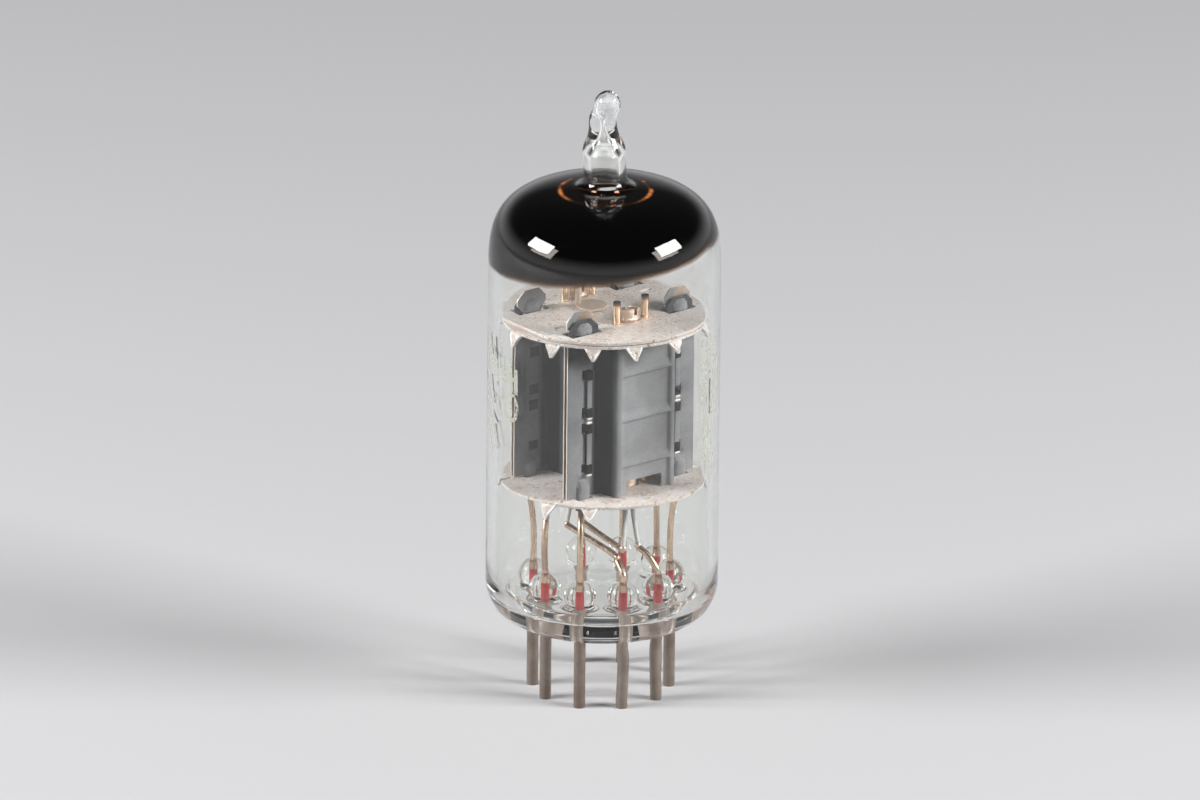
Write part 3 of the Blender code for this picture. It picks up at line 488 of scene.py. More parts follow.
# Radius and height, both in mm, down the tip from its round head to the flare on the dome
TIP_MARKS = [(1.13, 53.7), (1.16, 53.1), (1.19, 52.4), (1.22, 51.8), (1.33, 51.0), (1.62, 50.3),
             (1.82, 49.8), (1.87, 49.3), (1.87, 48.0), (1.88, 47.2), (1.98, 46.75), (2.22, 46.4),
             (2.62, 46.14)]
HEAD_RADIUS = TIP_MARKS[0][0] * MM
TIP_FOOT_RADIUS = TIP_MARKS[-1][0] * MM
SEAM_SWELL = 0.05 * MM          # the ridge where bulb and stem were fused
SEAM_ANGLE, SEAM_SPREAD = 52, 4    # its place and half width in degrees up from straight below
GLASS_SIDES = 256


def mark_line(marks, steps):
    """A smooth section through marks of radius and height that are given in mm."""
    line = smooth_line([(x * MM, z * MM, 0.0) for x, z in marks], steps)
    return [(point.x, point.y) for point in line]


def dome_line(radius, rise, end_radius, steps):
    """The dome's section from near the axis down to the straight wall."""
    reach = math.acos(end_radius / radius)
    line = []
    for step in range(steps + 1):
        across = math.cos(reach * (1 - step / steps))
        up = max(0.0, 1 - across ** DOME_POWER) ** (1 / DOME_POWER)
        line.append((radius * across, DOME_START + rise * up))
    return line


def tip_line():
    """The exhaust tip from its round head down to the flare on the dome."""
    head = [(HEAD_RADIUS * math.sin(a), TIP_TOP - HEAD_RADIUS * (1 - math.cos(a)))
            for a in (math.pi / 2 * i / 10 for i in range(11))]
    return head[:-1] + mark_line(TIP_MARKS, 3)


def base_round(radius, start, end, steps):
    """The rounded lower edge, between two angles measured up from straight below."""
    centre_r = BULB_RADIUS - BASE_ROUND
    centre_z = SEAT_Z + BASE_ROUND
    line = []
    for step in range(steps + 1):
        angle = math.radians(start + (end - start) * step / steps)
        line.append((centre_r + radius * math.sin(angle), centre_z - radius * math.cos(angle)))
    return line


def outside_line():
    """From the head of the tip down the dome and the wall, and in under the base."""
    round_radius = BASE_ROUND - (BULB_RADIUS - GLASS_OUTSIDE)
    wall_top = (GLASS_OUTSIDE, DOME_START)
    wall = [(GLASS_OUTSIDE, DOME_START + (SEAT_Z + BASE_ROUND - DOME_START) * i / 12)
            for i in range(1, 12)]
    dome = dome_line(GLASS_OUTSIDE, DOME_RISE, TIP_FOOT_RADIUS + FLARE_GAP, DOME_STEPS)
    seam = []
    for radius, height in base_round(round_radius, 90, 0, 36):
        angle = math.atan2(radius - (BULB_RADIUS - BASE_ROUND), SEAT_Z + BASE_ROUND - height)
        swell = SEAM_SWELL * math.exp(-((math.degrees(angle) - SEAM_ANGLE) / SEAM_SPREAD) ** 2)
        seam.append((radius + swell * math.sin(angle), height - swell * math.cos(angle)))
    hollow = [(6.0 * MM, SEAT_Z), (3.0 * MM, SEAT_Z + 0.05 * MM), (0.0, SEAT_Z + 0.08 * MM)]
    return tip_line() + dome[:-1] + [wall_top] + wall + seam + hollow


print("outside points:", len(outside_line()))

# %% [markdown]
# Inside, the wall meets the pressed stem in a narrow crevice, and nine beads of glass rise
# round the leads. Each bead is a ball that overhangs its foot, so the rings of points near a
# lead are moved along a curve rather than only lifted.
# %% Inside of the glass
BORE_RADIUS = GLASS_OUTSIDE - GLASS_WALL
FLOOR_Z = SEAT_Z + 2.7 * MM
FILM_HOLE_RADIUS = 2.45 * MM
WALL_FOOT = 12.0 * MM           # from here up the inner wall is straight
STEM_RING = 0.25 * MM           # radius of the innermost ring of points on the stem
CREVICE_RADIUS = 7.7 * MM
STEM_RINGS = 74
BEAD_REACH = 1.62 * MM          # distance from a lead within which the glass swells
BEAD_CURVE = [(0.28, 5.35), (0.46, 5.24), (0.86, 5.06), (1.16, 4.66), (1.36, 4.2), (1.34, 3.8),
              (1.12, 3.2), (1.22, 2.84), (1.62, 2.7)]    # radius and height over the seat, in mm


def bore_line():
    """The hollow of the tip, from its mouth in the dome up to where the glass was melted shut."""
    marks = [(1.75, 45.45), (1.32, 46.0), (1.22, 47.0), (1.22, 48.6), (1.1, 49.3), (0.75, 49.9),
             (0.42, 50.5), (0.22, 51.3), (0.08, 52.3)]
    return mark_line(marks, 3)


def inside_line():
    """From the crevice at the base up the wall and the dome to the closed end of the bore."""
    crevice = [(7.75, 9.2), (7.95, 9.28), (8.12, 9.3), (8.28, 9.18), (8.42, 8.95), (8.52, 8.82),
               (8.66, 8.86), (8.82, 9.15), (8.98, 9.65), (9.12, 10.3), (9.17, 11.2)]
    wall = [(BORE_RADIUS, WALL_FOOT + (DOME_START - WALL_FOOT) * i / 14) for i in range(15)]
    dome = dome_line(BORE_RADIUS, DOME_RISE - GLASS_WALL, FILM_HOLE_RADIUS, DOME_STEPS)[::-1]
    end = [(0.0, 52.4 * MM)]
    return mark_line(crevice, 3) + wall + dome[1:] + bore_line() + end


def stem_floor():
    """Close rings over the stem, from its middle out to the crevice."""
    reach = CREVICE_RADIUS - STEM_RING
    return [(STEM_RING + reach * i / (STEM_RINGS - 1), FLOOR_Z) for i in range(STEM_RINGS)]


def on_bead(point):
    """Where a point of the stem's floor lies once the beads have risen."""
    for place in PIN_PLACES:
        away = Vector((point.x, point.y)) - place
        if away.length > BEAD_REACH:
            continue
        share = away.length / BEAD_REACH * (len(BEAD_CURVE) - 1)
        index = min(int(share), len(BEAD_CURVE) - 2)
        one, two = Vector(BEAD_CURVE[index]), Vector(BEAD_CURVE[index + 1])
        radius, height = one.lerp(two, share - index) * MM
        aside = place + away.normalized() * radius
        return Vector((aside.x, aside.y, SEAT_Z + height))
    return point


print("inside points:", len(inside_line()) + STEM_RINGS)


# %% [markdown]
# The tip was drawn off by hand in the flame and leans a little. A slow wave on the inner wall
# stands for the uneven thickness of blown glass.
# %% Bend the tip and build the skin
TIP_LEANS = [(46.2, 0.0), (49.8, -0.15), (52.3, -0.30), (53.6, 0.10), (54.85, 0.15)]
WAVE_HEIGHT = 0.012 * MM
WAVE_SCALE = 260.0


def tip_lean(height):
    """How far the tip stands off the axis at a height."""
    for (low, first), (high, last) in zip(TIP_LEANS, TIP_LEANS[1:]):
        if height <= high * MM:
            share = smooth_step((height / MM - low) / (high - low))
            return (first + (last - first) * share) * MM
    return TIP_LEANS[-1][1] * MM


def wavy(point):
    """The inner wall's slow unevenness."""
    away = Vector((point.x, point.y, 0.0)).normalized()
    return point + away * noise.noise(point * WAVE_SCALE) * WAVE_HEIGHT


def make_glass():
    """The outer skin and the skin of the hollow, joined into one piece of glass."""
    floor = [(0.0, FLOOR_Z)] + stem_floor()
    hollow = [[on_bead(point) for point in row] for row in turned_rows(floor, GLASS_SIDES)]
    hollow += [[wavy(point) for point in row] for row in turned_rows(inside_line(), GLASS_SIDES)]
    outer = grid_mesh("glass_skin", turned_rows(outside_line(), GLASS_SIDES))
    inner = grid_mesh("glass_skin", hollow)
    inner.flip_normals()
    skins = joined([outer, inner])
    for corner in skins.verts:
        if corner.co.z > DOME_TOP:
            corner.co.x += tip_lean(corner.co.z)
    mesh = mesh_of("glass_envelope", skins)
    mesh.shade_smooth()
    return mesh


glass_mesh = make_glass()
print("glass faces:", len(glass_mesh.polygons))

# %% [markdown]
# Clear glass is all transmission. A faint bump over the whole skin gives its reflections the
# slight unrest of blown glass. It casts no shadow, so lamps shine through it, and rays that
# gather diffuse light pass it too, so that no light reaches the inside twice.
# %% Clear glass
GLASS_BEND = 1.5                # index of refraction


def clear_glass():
    material, shader = new_finish("clear_glass", (0.975, 0.985, 0.965), 0.0)
    shader.inputs["Transmission Weight"].default_value = 1.0
    shader.inputs["IOR"].default_value = GLASS_BEND
    bumps(material, shader, grain(material, 420.0, 1.0), 0.02 * MM, 0.25)
    return material


glass = add_piece("glass_envelope", glass_mesh, ["glass_bulb", "button_stem"])
glass_mesh.materials.append(clear_glass())
glass.visible_shadow = False
glass.visible_diffuse = False
print("glass stands for two solids")

# %% [markdown]
# ## The getter mirror
# A flash of barium has lined the dome with a dark mirror. It grows thin and brown at its
# slanting lower edge and round the exhaust hole. The film lies just under the skin of the
# glass, so that no air shows between them, and its thin edge is made by the alpha.
# %% Mirror film
FILM_EDGE_MIDDLE = SEAT_Z + 34.0 * MM
FILM_EDGE_SLOPE = 0.125
FILM_FADE = 0.9 * MM            # height over which the film thins out
FILM_RING_RADIUS = 3.9 * MM     # an orange ring of thin film round the exhaust hole
FILM_RING_WIDTH = 0.3 * MM
FILM_SIDES = 192
FILM_STEPS = 36
FILM_SUNK = 0.03 * MM           # how far the film's outer side lies within the glass
FILM_PROUD = 0.02 * MM          # how far its inner side stands off the glass


def film_rows(inset):
    """Rows of the film at a distance inside the bore, cut off at the slanting edge.

    The edge lies above the start of the dome, so each column of points is a stretch of the
    dome's section from the exhaust hole down to the edge on that side of the tube.
    """
    radius = BORE_RADIUS - inset
    section = dome_line(radius, DOME_RISE - GLASS_WALL - inset, FILM_HOLE_RADIUS, 160)
    lip = [Vector((r - inset, z)) for r, z in bore_line()[3::-1]] + [Vector(section[0])]
    lip = [tuple(one.lerp(two, i / 6)) for one, two in zip(lip, lip[1:]) for i in range(6)]
    section = lip + section
    columns = []
    for side in range(FILM_SIDES):
        angle = math.tau * side / FILM_SIDES
        edge = FILM_EDGE_MIDDLE - FILM_FADE + FILM_EDGE_SLOPE * radius * math.cos(angle)
        kept = [(r, z) for r, z in section if z > edge]
        column = []
        for step in range(FILM_STEPS + 1):
            r, z = kept[round(step / FILM_STEPS * (len(kept) - 1))]
            column.append(Vector((r * math.cos(angle), r * math.sin(angle), z)))
        columns.append(column)
    return [list(row) for row in zip(*columns)]


def make_film():
    outer = film_rows(-FILM_SUNK)
    inner = film_rows(FILM_PROUD)
    return seam_closed(grid_mesh("mirror_film", outer + inner[::-1] + outer[:1]))


def mirror_film():
    """Dark mirror, brown and thin near its edges."""
    material, shader = new_finish("getter_film", (0.016, 0.014, 0.013), 0.03, 1.0)
    slant = math_of(material, axis_of(material, "X"), -FILM_EDGE_SLOPE, "MULTIPLY")
    height = math_of(material, axis_of(material, "Z"), slant)
    unrest = remap(material, grain(material, 170.0, 2.0), 0.0, 1.0, -0.3 * MM, 0.3 * MM)
    edge = math_of(material, height, unrest)
    thick = remap(material, edge, FILM_EDGE_MIDDLE - FILM_FADE * 0.4,
                  FILM_EDGE_MIDDLE + FILM_FADE * 0.5)
    colour = ramp(material, thick, [(0.0, (0.30, 0.16, 0.08)), (0.35, (0.16, 0.085, 0.05)),
                                    (0.7, (0.04, 0.028, 0.02)), (1.0, (0.016, 0.014, 0.013))])
    across = math_of(material, axis_of(material, "X"), 2.0, "POWER")
    deep = math_of(material, axis_of(material, "Y"), 2.0, "POWER")
    radius = math_of(material, math_of(material, across, deep), 0.5, "POWER")
    away = math_of(material, radius, FILM_RING_RADIUS, "SUBTRACT")
    away = math_of(material, away, 0.0, "ABSOLUTE")
    ring = remap(material, away, FILM_RING_WIDTH, FILM_RING_WIDTH * 0.2)
    patchy = remap(material, grain(material, 420.0, 3.0), 0.42, 0.58)
    # The ring's orange is the thin film's own colour; keeping it strong only at the left and right,
    # towards the lamps, paints their reflection.
    aside = math_of(material, axis_of(material, "X"), 0.0, "ABSOLUTE")
    aside = remap(material, aside, FILM_RING_RADIUS * 0.6, FILM_RING_RADIUS * 0.9, 0.12)
    ring = math_of(material, ring, math_of(material, patchy, aside, "MULTIPLY"), "MULTIPLY")
    near = remap(material, radius, FILM_RING_RADIUS + 0.3 * MM, FILM_RING_RADIUS - 0.5 * MM)
    colour = spotted(material, near, colour, (0.06, 0.032, 0.018))
    colour = spotted(material, ring, colour, (0.80, 0.26, 0.06))
    join(material, colour, shader.inputs["Base Color"])
    join(material, remap(material, ring, 0.0, 1.0, 1.0, 0.1), shader.inputs["Metallic"])
    join(material, remap(material, thick, 0.05, 0.6), shader.inputs["Alpha"])
    return material


film = add_piece("mirror_film", make_film(), ["getter_mirror"])
film.data.materials.append(mirror_film())
print("film faces:", len(film.data.polygons))

# %% [markdown]
# ## Wires from one node tree
# Pins, rods, leads and heater legs are all round wire along a path. One Geometry Nodes tree
# makes them: it spaces points along the curve, narrows the radius at both ends so that they
# come out round, and sweeps a circle along it.
# %% Helpers for node trees


def new_tree(name, inputs):
    """An empty Geometry Nodes tree with named inputs; its first one is the geometry."""
    tree = bpy.data.node_groups.new(name, "GeometryNodeTree")
    tree.interface.new_socket("Geometry", in_out="INPUT", socket_type="NodeSocketGeometry")
    for label, kind in inputs:
        tree.interface.new_socket(label, in_out="INPUT", socket_type="NodeSocket" + kind)
    tree.interface.new_socket("Geometry", in_out="OUTPUT", socket_type="NodeSocketGeometry")
    return tree, tree.nodes.new("NodeGroupInput"), tree.nodes.new("NodeGroupOutput")


def geo_node(tree, kind, **settings):
    node = tree.nodes.new(kind)
    for key, value in settings.items():
        setattr(node, key, value)
    return node


def tree_math(tree, operation, first, second=None):
    """A Math node in a Geometry Nodes tree, on sockets or numbers."""
    node = geo_node(tree, "ShaderNodeMath", operation=operation)
    for socket, source in zip(node.inputs, (first, second)):
        if isinstance(source, (int, float)):
            socket.default_value = source
        elif source is not None:
            tree.links.new(source, socket)
    return node.outputs[0]


def finish_tree(tree, made, entry, leave):
    """Every tree ends the same way: smooth, real geometry with its material."""
    smooth = geo_node(tree, "GeometryNodeSetShadeSmooth")
    tree.links.new(made, smooth.inputs["Geometry"])
    real = geo_node(tree, "GeometryNodeRealizeInstances")
    tree.links.new(smooth.outputs[0], real.inputs[0])
    coloured = geo_node(tree, "GeometryNodeSetMaterial")
    tree.links.new(real.outputs[0], coloured.inputs["Geometry"])
    tree.links.new(entry.outputs["Material"], coloured.inputs["Material"])
    tree.links.new(coloured.outputs[0], leave.inputs[0])


def sweep(tree, path, radius):
    """A circle swept along a path, with closed ends: the circle's node and the geometry."""
    circle = geo_node(tree, "GeometryNodeCurvePrimitiveCircle")
    tree.links.new(radius, circle.inputs["Radius"])
    swept = geo_node(tree, "GeometryNodeCurveToMesh")
    swept.inputs["Fill Caps"].default_value = True
    tree.links.new(path, swept.inputs["Curve"])
    tree.links.new(circle.outputs[0], swept.inputs["Profile Curve"])
    return circle, swept.outputs[0]


print("helpers for node trees ready")

# %% [markdown]
# A wire ends in a half ball. Near an end the swept circle shrinks as a circle's own outline
# does, which the Spline Parameter and a few Math nodes work out.
# %% Rounded wire tree


def end_rounding(tree, radius):
    """How thick the wire is along its path, from a point at each end to its full radius."""
    place = geo_node(tree, "GeometryNodeSplineParameter").outputs["Length"]
    whole = geo_node(tree, "GeometryNodeSplineLength").outputs["Length"]
    nearer = tree_math(tree, "MINIMUM", place, tree_math(tree, "SUBTRACT", whole, place))
    inside = tree_math(tree, "MINIMUM", tree_math(tree, "DIVIDE", nearer, radius), 1.0)
    below = tree_math(tree, "SUBTRACT", 1.0, inside)
    squared = tree_math(tree, "MULTIPLY", below, below)
    return tree_math(tree, "SQRT", tree_math(tree, "MAXIMUM", tree_math(
        tree, "SUBTRACT", 1.0, squared), 0.01))


def wire_tree():
    tree, entry, leave = new_tree("rounded_wire", [
        ("Diameter", "Float"), ("Spacing", "Float"), ("Sides", "Int"), ("Material", "Material")])
    link = tree.links.new
    spaced = geo_node(tree, "GeometryNodeResampleCurve", mode="LENGTH")
    link(entry.outputs["Geometry"], spaced.inputs["Curve"])
    link(entry.outputs["Spacing"], spaced.inputs["Length"])
    radius = tree_math(tree, "MULTIPLY", entry.outputs["Diameter"], 0.5)
    sized = geo_node(tree, "GeometryNodeSetCurveRadius")
    link(spaced.outputs[0], sized.inputs["Curve"])
    link(end_rounding(tree, radius), sized.inputs["Radius"])
    circle, swept = sweep(tree, sized.outputs[0], radius)
    link(entry.outputs["Sides"], circle.inputs["Resolution"])
    finish_tree(tree, swept, entry, leave)
    return tree


def run_tree(name, piece, tree, values):
    """Put the tree on the piece, set its named inputs and turn the result into a mesh."""
    modifier = modify(piece, "NODES", node_group=tree)
    for item in tree.interface.items_tree:
        if item.item_type == "SOCKET" and item.in_out == "INPUT" and item.name in values:
            modifier[item.identifier] = values[item.name]
    return baked(name, piece)


WIRE_TREE = wire_tree()
WIRE_SIDES = 20
WIRE_STEPS = 7                  # points along a wire in the length of its diameter


def wire_mesh(name, paths, diameter, material):
    """Round wire along one or more paths of points."""
    curve = bpy.data.curves.new(name, "CURVE")
    curve.dimensions = "3D"
    for path in paths:
        spline = curve.splines.new("POLY")
        spline.points.add(len(path) - 1)
        for place, point in zip(spline.points, path):
            place.co = (*point, 1.0)
    piece = link_new(name, curve)
    return run_tree(name, piece, WIRE_TREE, {
        "Diameter": diameter, "Spacing": diameter / WIRE_STEPS, "Sides": WIRE_SIDES,
        "Material": material})


print("tree inputs:", [item.name for item in WIRE_TREE.interface.items_tree])

# %% [markdown]
# ## Metals
# Nickel shows in several shades: dull and pinkish on the pins, warm and bright on the leads,
# clean on the sleeves and welds, and nearly white where it is torn. The grids are polished
# copper, and copper has gone red where it passes through glass. Draw marks run along a wire, so
# their noise is stretched upwards.
# %% Metal finishes
DRAW_SCALE = 1800.0
DRAW_MARK = 0.006 * MM


def drawn_metal(name, light, dark, roughness, metallic=1.0):
    """Metal with fine draw marks along Z, and slow patches of the darker colour."""
    material, shader = new_finish(name, light, roughness, metallic)
    patches = grain(material, 350.0, 4.0)
    marks = grain(material, DRAW_SCALE, 2.0, (1, 1, 0.12))
    colour = ramp(material, patches, [(0.3, dark), (0.65, light)])
    join(material, colour, shader.inputs["Base Color"])
    rough = remap(material, marks, 0.3, 0.7, roughness * 0.75, roughness * 1.3)
    join(material, rough, shader.inputs["Roughness"])
    bumps(material, shader, marks, DRAW_MARK, 0.6)
    return material


PIN_NICKEL = drawn_metal("pin_nickel", (0.33, 0.275, 0.235), (0.20, 0.155, 0.125), 0.42, 0.3)
LEAD_NICKEL = drawn_metal("lead_nickel", (0.72, 0.55, 0.41), (0.45, 0.31, 0.22), 0.24)
GRID_COPPER = drawn_metal("grid_copper", (0.86, 0.62, 0.42), (0.66, 0.42, 0.26), 0.16)
SLEEVE_NICKEL = drawn_metal("sleeve_nickel", (0.74, 0.60, 0.49), (0.56, 0.42, 0.33), 0.32)
BARE_NICKEL = drawn_metal("bare_nickel", (0.80, 0.70, 0.60), (0.60, 0.50, 0.42), 0.28)
SEAL_RED = drawn_metal("seal_red", (0.50, 0.015, 0.015), (0.30, 0.008, 0.008), 0.35, 0.1)
TORN_NICKEL = drawn_metal("torn_nickel", (0.95, 0.90, 0.84), (0.80, 0.70, 0.60), 0.35, 0.5)
print("materials so far:", len(bpy.data.materials))

# %% [markdown]
# ## Pins
# Nine straight pins of hard nickel with round ends. Two of them have been bent a little near
# the glass by rough handling.
# %% Pins
PIN_KINKS = {4: (0.10, 0.0), 5: (-0.09, 0.04)}      # how far a bent pin wanders, in mm


def pin_path(number):
    place = PIN_PLACES[number - 1]
    kink = Vector(PIN_KINKS.get(number, (0.0, 0.0))) * MM
    marks = [(PIN_TOP, 0.0), (SEAT_Z, 0.0), (SEAT_Z - 0.9 * MM, 0.0), (SEAT_Z - 1.6 * MM, 0.9),
             (SEAT_Z - 2.6 * MM, 1.0), (SEAT_Z - 4.4 * MM, 0.5), (0.9 * MM, 0.0), (0.0, 0.0)]
    points = [(place.x + kink.x * share, place.y + kink.y * share, height)
              for height, share in marks]
    return smooth_line(points, 6)


for number in range(1, len(PIN_PLACES) + 1):
    mesh = wire_mesh(f"pin_{number}", [pin_path(number)], PIN_DIAMETER, PIN_NICKEL)
    add_piece(f"pin_{number}", mesh, [f"base_pin_{number}"])
print("pins:", len(PIN_PLACES), "diameter in mm:", round(PIN_DIAMETER / MM, 3))

# %% [markdown]
# ## Seal wires
# Between each pin and its lead a copper-clad wire passes through the glass. Its oxide shows
# bright red in the beads.
# %% Seal wires
SEAL_DIAMETER = 0.5 * MM
RED_END = SEAL_TOP + 0.6 * MM   # the oxide has crept a little up the lead
SEAL_IN_PIN = 0.1 * MM          # how far the seal wire reaches into the pin
SEAL_IN_LEAD = 0.07 * MM        # and into the lead

for number, place in enumerate(PIN_PLACES, 1):
    path = [(place.x, place.y, PIN_TOP - SEAL_IN_PIN), (place.x, place.y, RED_END + SEAL_IN_LEAD)]
    mesh = wire_mesh(f"seal_{number}", [path], SEAL_DIAMETER, SEAL_RED)
    add_piece(f"seal_{number}", mesh, [f"seal_wire_{number}"])
print("seal wires:", len(PIN_PLACES))

# %% [markdown]
# ## Where the two triodes stand
# The tube holds two triode systems back to back. Each is drawn once in a frame of its own: X
# runs along its plates and Y points out of the tube. A turn about the tube's axis places it.
# %% The frames of the two systems
PLATE_ANGLE = 38.3
TURNS = {"front": 180.0 + PLATE_ANGLE, "back": PLATE_ANGLE}
SYSTEM_OFFSET = MICA_RADIUS * 0.416


def system_frame(name):
    turn = Matrix.Rotation(math.radians(TURNS[name]), 4, "Z")
    return turn @ Matrix.Translation((0.0, SYSTEM_OFFSET, 0.0))


def system_point(name, along, out, height):
    return system_frame(name) @ Vector((along, out, height))


print({name: round(turn, 1) for name, turn in TURNS.items()})

# %% [markdown]
# ## Mica discs
# Mica is split and punched, so its outline is crisp and its rim a little ragged. A flat curve
# with holes gives the disc. The lower disc and the lower one of the upper two carry bent teeth
# that grip the glass: each tooth is a small sheet of its own, curled down by a rule.
# %% Outlines for the micas
MICA_THICKNESS = PLAIN_MICA_TOP - PLAIN_MICA_BOTTOM
LOWER_MICA_BOTTOM = LOWER_MICA_TOP - MICA_THICKNESS
MICA_BEVEL = 0.02 * MM
MICA_SPARE = 0.025 * MM         # taken off each side, so that a dark line parts stacked discs
ROD_DIAMETER = 0.65 * MM
ROD_HALF_SPACING = MICA_RADIUS * 0.172
SLEEVE_HALF_WIDTH = MICA_RADIUS * 0.2135 / 2
SLEEVE_HALF_DEPTH = MICA_RADIUS * 0.1125 / 2
SHEET = 0.22 * MM
FIN_GAP = 0.12 * MM
FIN_END = math.sqrt((MICA_RADIUS - 1.0 * MM) ** 2 - SYSTEM_OFFSET ** 2)
EAR_X = FIN_END - MICA_RADIUS * 0.192
EAR_NECK = 1.4 * MM
EAR_WIDTH = 3.0 * MM
PLAIN_FLAT = MICA_RADIUS * 0.933
SLEEVE_SPARE = 0.06 * MM        # how much wider the holes are than what stands in them
ROD_SPARE = 0.05 * MM
EAR_SPARE = 0.09 * MM
EAR_SLOT_HALF = 0.76 * MM       # half the width of an ear's slot
SLIT_HALF = (0.6 * MM, 0.17 * MM)    # half the length and width of a slit
RIM_INSET = 0.03 * MM
RIM_NICK = 0.05 * MM
RIM_POINTS = 240


def ring_of(centre_x, centre_y, half_x, half_y, count):
    return [Vector((centre_x + half_x * math.cos(math.tau * i / count),
                    centre_y + half_y * math.sin(math.tau * i / count), 0.0))
            for i in range(count)]


def slot_of(centre_x, centre_y, half_x, half_y):
    return [Vector((centre_x + half_x * a, centre_y + half_y * b, 0.0))
            for a, b in ((-1, -1), (1, -1), (1, 1), (-1, 1))]


def mica_holes(slits, tab_width):
    """Openings of both systems for rods, sleeves, the anodes' tabs and slits."""
    holes = []
    for name in TURNS:
        place = system_frame(name)
        local = [ring_of(0, 0, SLEEVE_HALF_WIDTH + SLEEVE_SPARE, SLEEVE_HALF_DEPTH + SLEEVE_SPARE,
                         28)]
        rod_hole = ROD_DIAMETER / 2 + ROD_SPARE
        for side in (-1, 1):
            local.append(ring_of(side * ROD_HALF_SPACING, 0, rod_hole, rod_hole, 20))
            local.append(slot_of(side * EAR_X, 0, tab_width / 2 + EAR_SPARE, EAR_SLOT_HALF))
        for along, out in slits:
            local.append(slot_of(along * MICA_RADIUS, out * MICA_RADIUS, *SLIT_HALF))
        holes += [[place @ point for point in hole] for hole in local]
    return holes


def ragged_rim(seed, flat=None):
    """The rim as a circle with small nicks; a flat cuts it straight at both ends of the plates."""
    points = []
    turn = math.radians(PLATE_ANGLE)
    across = Vector((math.cos(turn), math.sin(turn), 0.0))
    for i in range(RIM_POINTS):
        angle = math.tau * i / RIM_POINTS
        way = Vector((math.cos(angle), math.sin(angle), 0.0))
        radius = MICA_RADIUS - RIM_INSET
        radius -= RIM_NICK * max(0.0, noise.noise(way * 9.0 + Vector((seed, 0, 0)))) * 2
        if flat and abs(way.dot(across)) * radius > flat:
            radius = flat / abs(way.dot(across))
        points.append(way * radius)
    return points


def notched(rim, place, inner, half):
    """Cut a slit into the rim: its points inside the slit give way to the slit's own sides."""
    back = place.inverted()
    side = math.copysign(1.0, inner)
    kept = []
    for index, point in enumerate(rim):
        here = back @ point
        if abs(here.y) > half or here.x * side < 0:
            kept.append(point)
            continue
        before = back @ rim[index - 1]
        if abs(before.y) > half:
            first = math.copysign(half, before.y)
            kept += [place @ Vector(spot) for spot in (
                (here.x, first, 0), (inner, first, 0), (inner, -first, 0), (here.x, -first, 0))]
    return kept


print("disc radius in mm:", round(MICA_RADIUS / MM, 2))

# %% [markdown]
# A two-dimensional curve fills itself between its outlines, so each opening is just one more
# closed line. Extrusion and a small bevel make it a disc.
# %% Disc from outlines
CURVE_MERGE = 0.001 * MM        # a curve's caps and walls meet less exactly than a grid's seam


def disc_mesh(name, rim, holes, middle):
    """A flat curve with holes, given its thickness and a rounded edge, as a mesh."""
    curve = bpy.data.curves.new(name, "CURVE")
    curve.dimensions = "2D"
    curve.fill_mode = "BOTH"
    curve.extrude = MICA_THICKNESS / 2 - MICA_BEVEL - MICA_SPARE
    curve.bevel_depth = MICA_BEVEL
    curve.bevel_resolution = 1
    curve.offset = -MICA_BEVEL
    for outline in [rim] + holes:
        spline = curve.splines.new("POLY")
        spline.points.add(len(outline) - 1)
        for place, point in zip(spline.points, outline):
            place.co = (point.x, point.y, 0.0, 1.0)
        spline.use_cyclic_u = True
    mesh = baked(name, link_new(name, curve))
    mesh.transform(Matrix.Translation((0, 0, middle)))
    seam_closed(mesh, CURVE_MERGE)
    mesh.shade_flat()
    return mesh


print("disc thickness in mm:", round((MICA_THICKNESS - 2 * MICA_SPARE) / MM, 2))

# %% [markdown]
# A tooth starts on the rim as a three-sided tongue. Its rows turn down step by step, its
# sides curl, and its point is crushed, so that no two teeth look alike.
# %% Teeth
UPPER_TEETH = (-90, -55, -29, -6, 17, 42, 72, 98, 124, 151, -179, -150, -120)
LOWER_TEETH = (-88, -31, -7, 90, 124, 151, -179, -150)
TOOTH_LENGTH = 1.45 * MM
TOOTH_HALF_WIDTH = 0.85 * MM
TOOTH_BEND = 76.0
TOOTH_WAVE = 0.06 * MM          # unevenness of a tooth's sheet
TOOTH_ROOT = 0.42 * MM          # how far inside the rim its sheet starts
TOOTH_POINT = 0.03 * MM         # half the width of its point
TOOTH_CURL = 0.16 * MM
TOOTH_WALL = 0.6                # its thickness as a share of the disc's
TOOTH_ROWS = 9
TOOTH_COLUMNS = 9
TOOTH_BORDER = 1                # index of the torn mica's finish


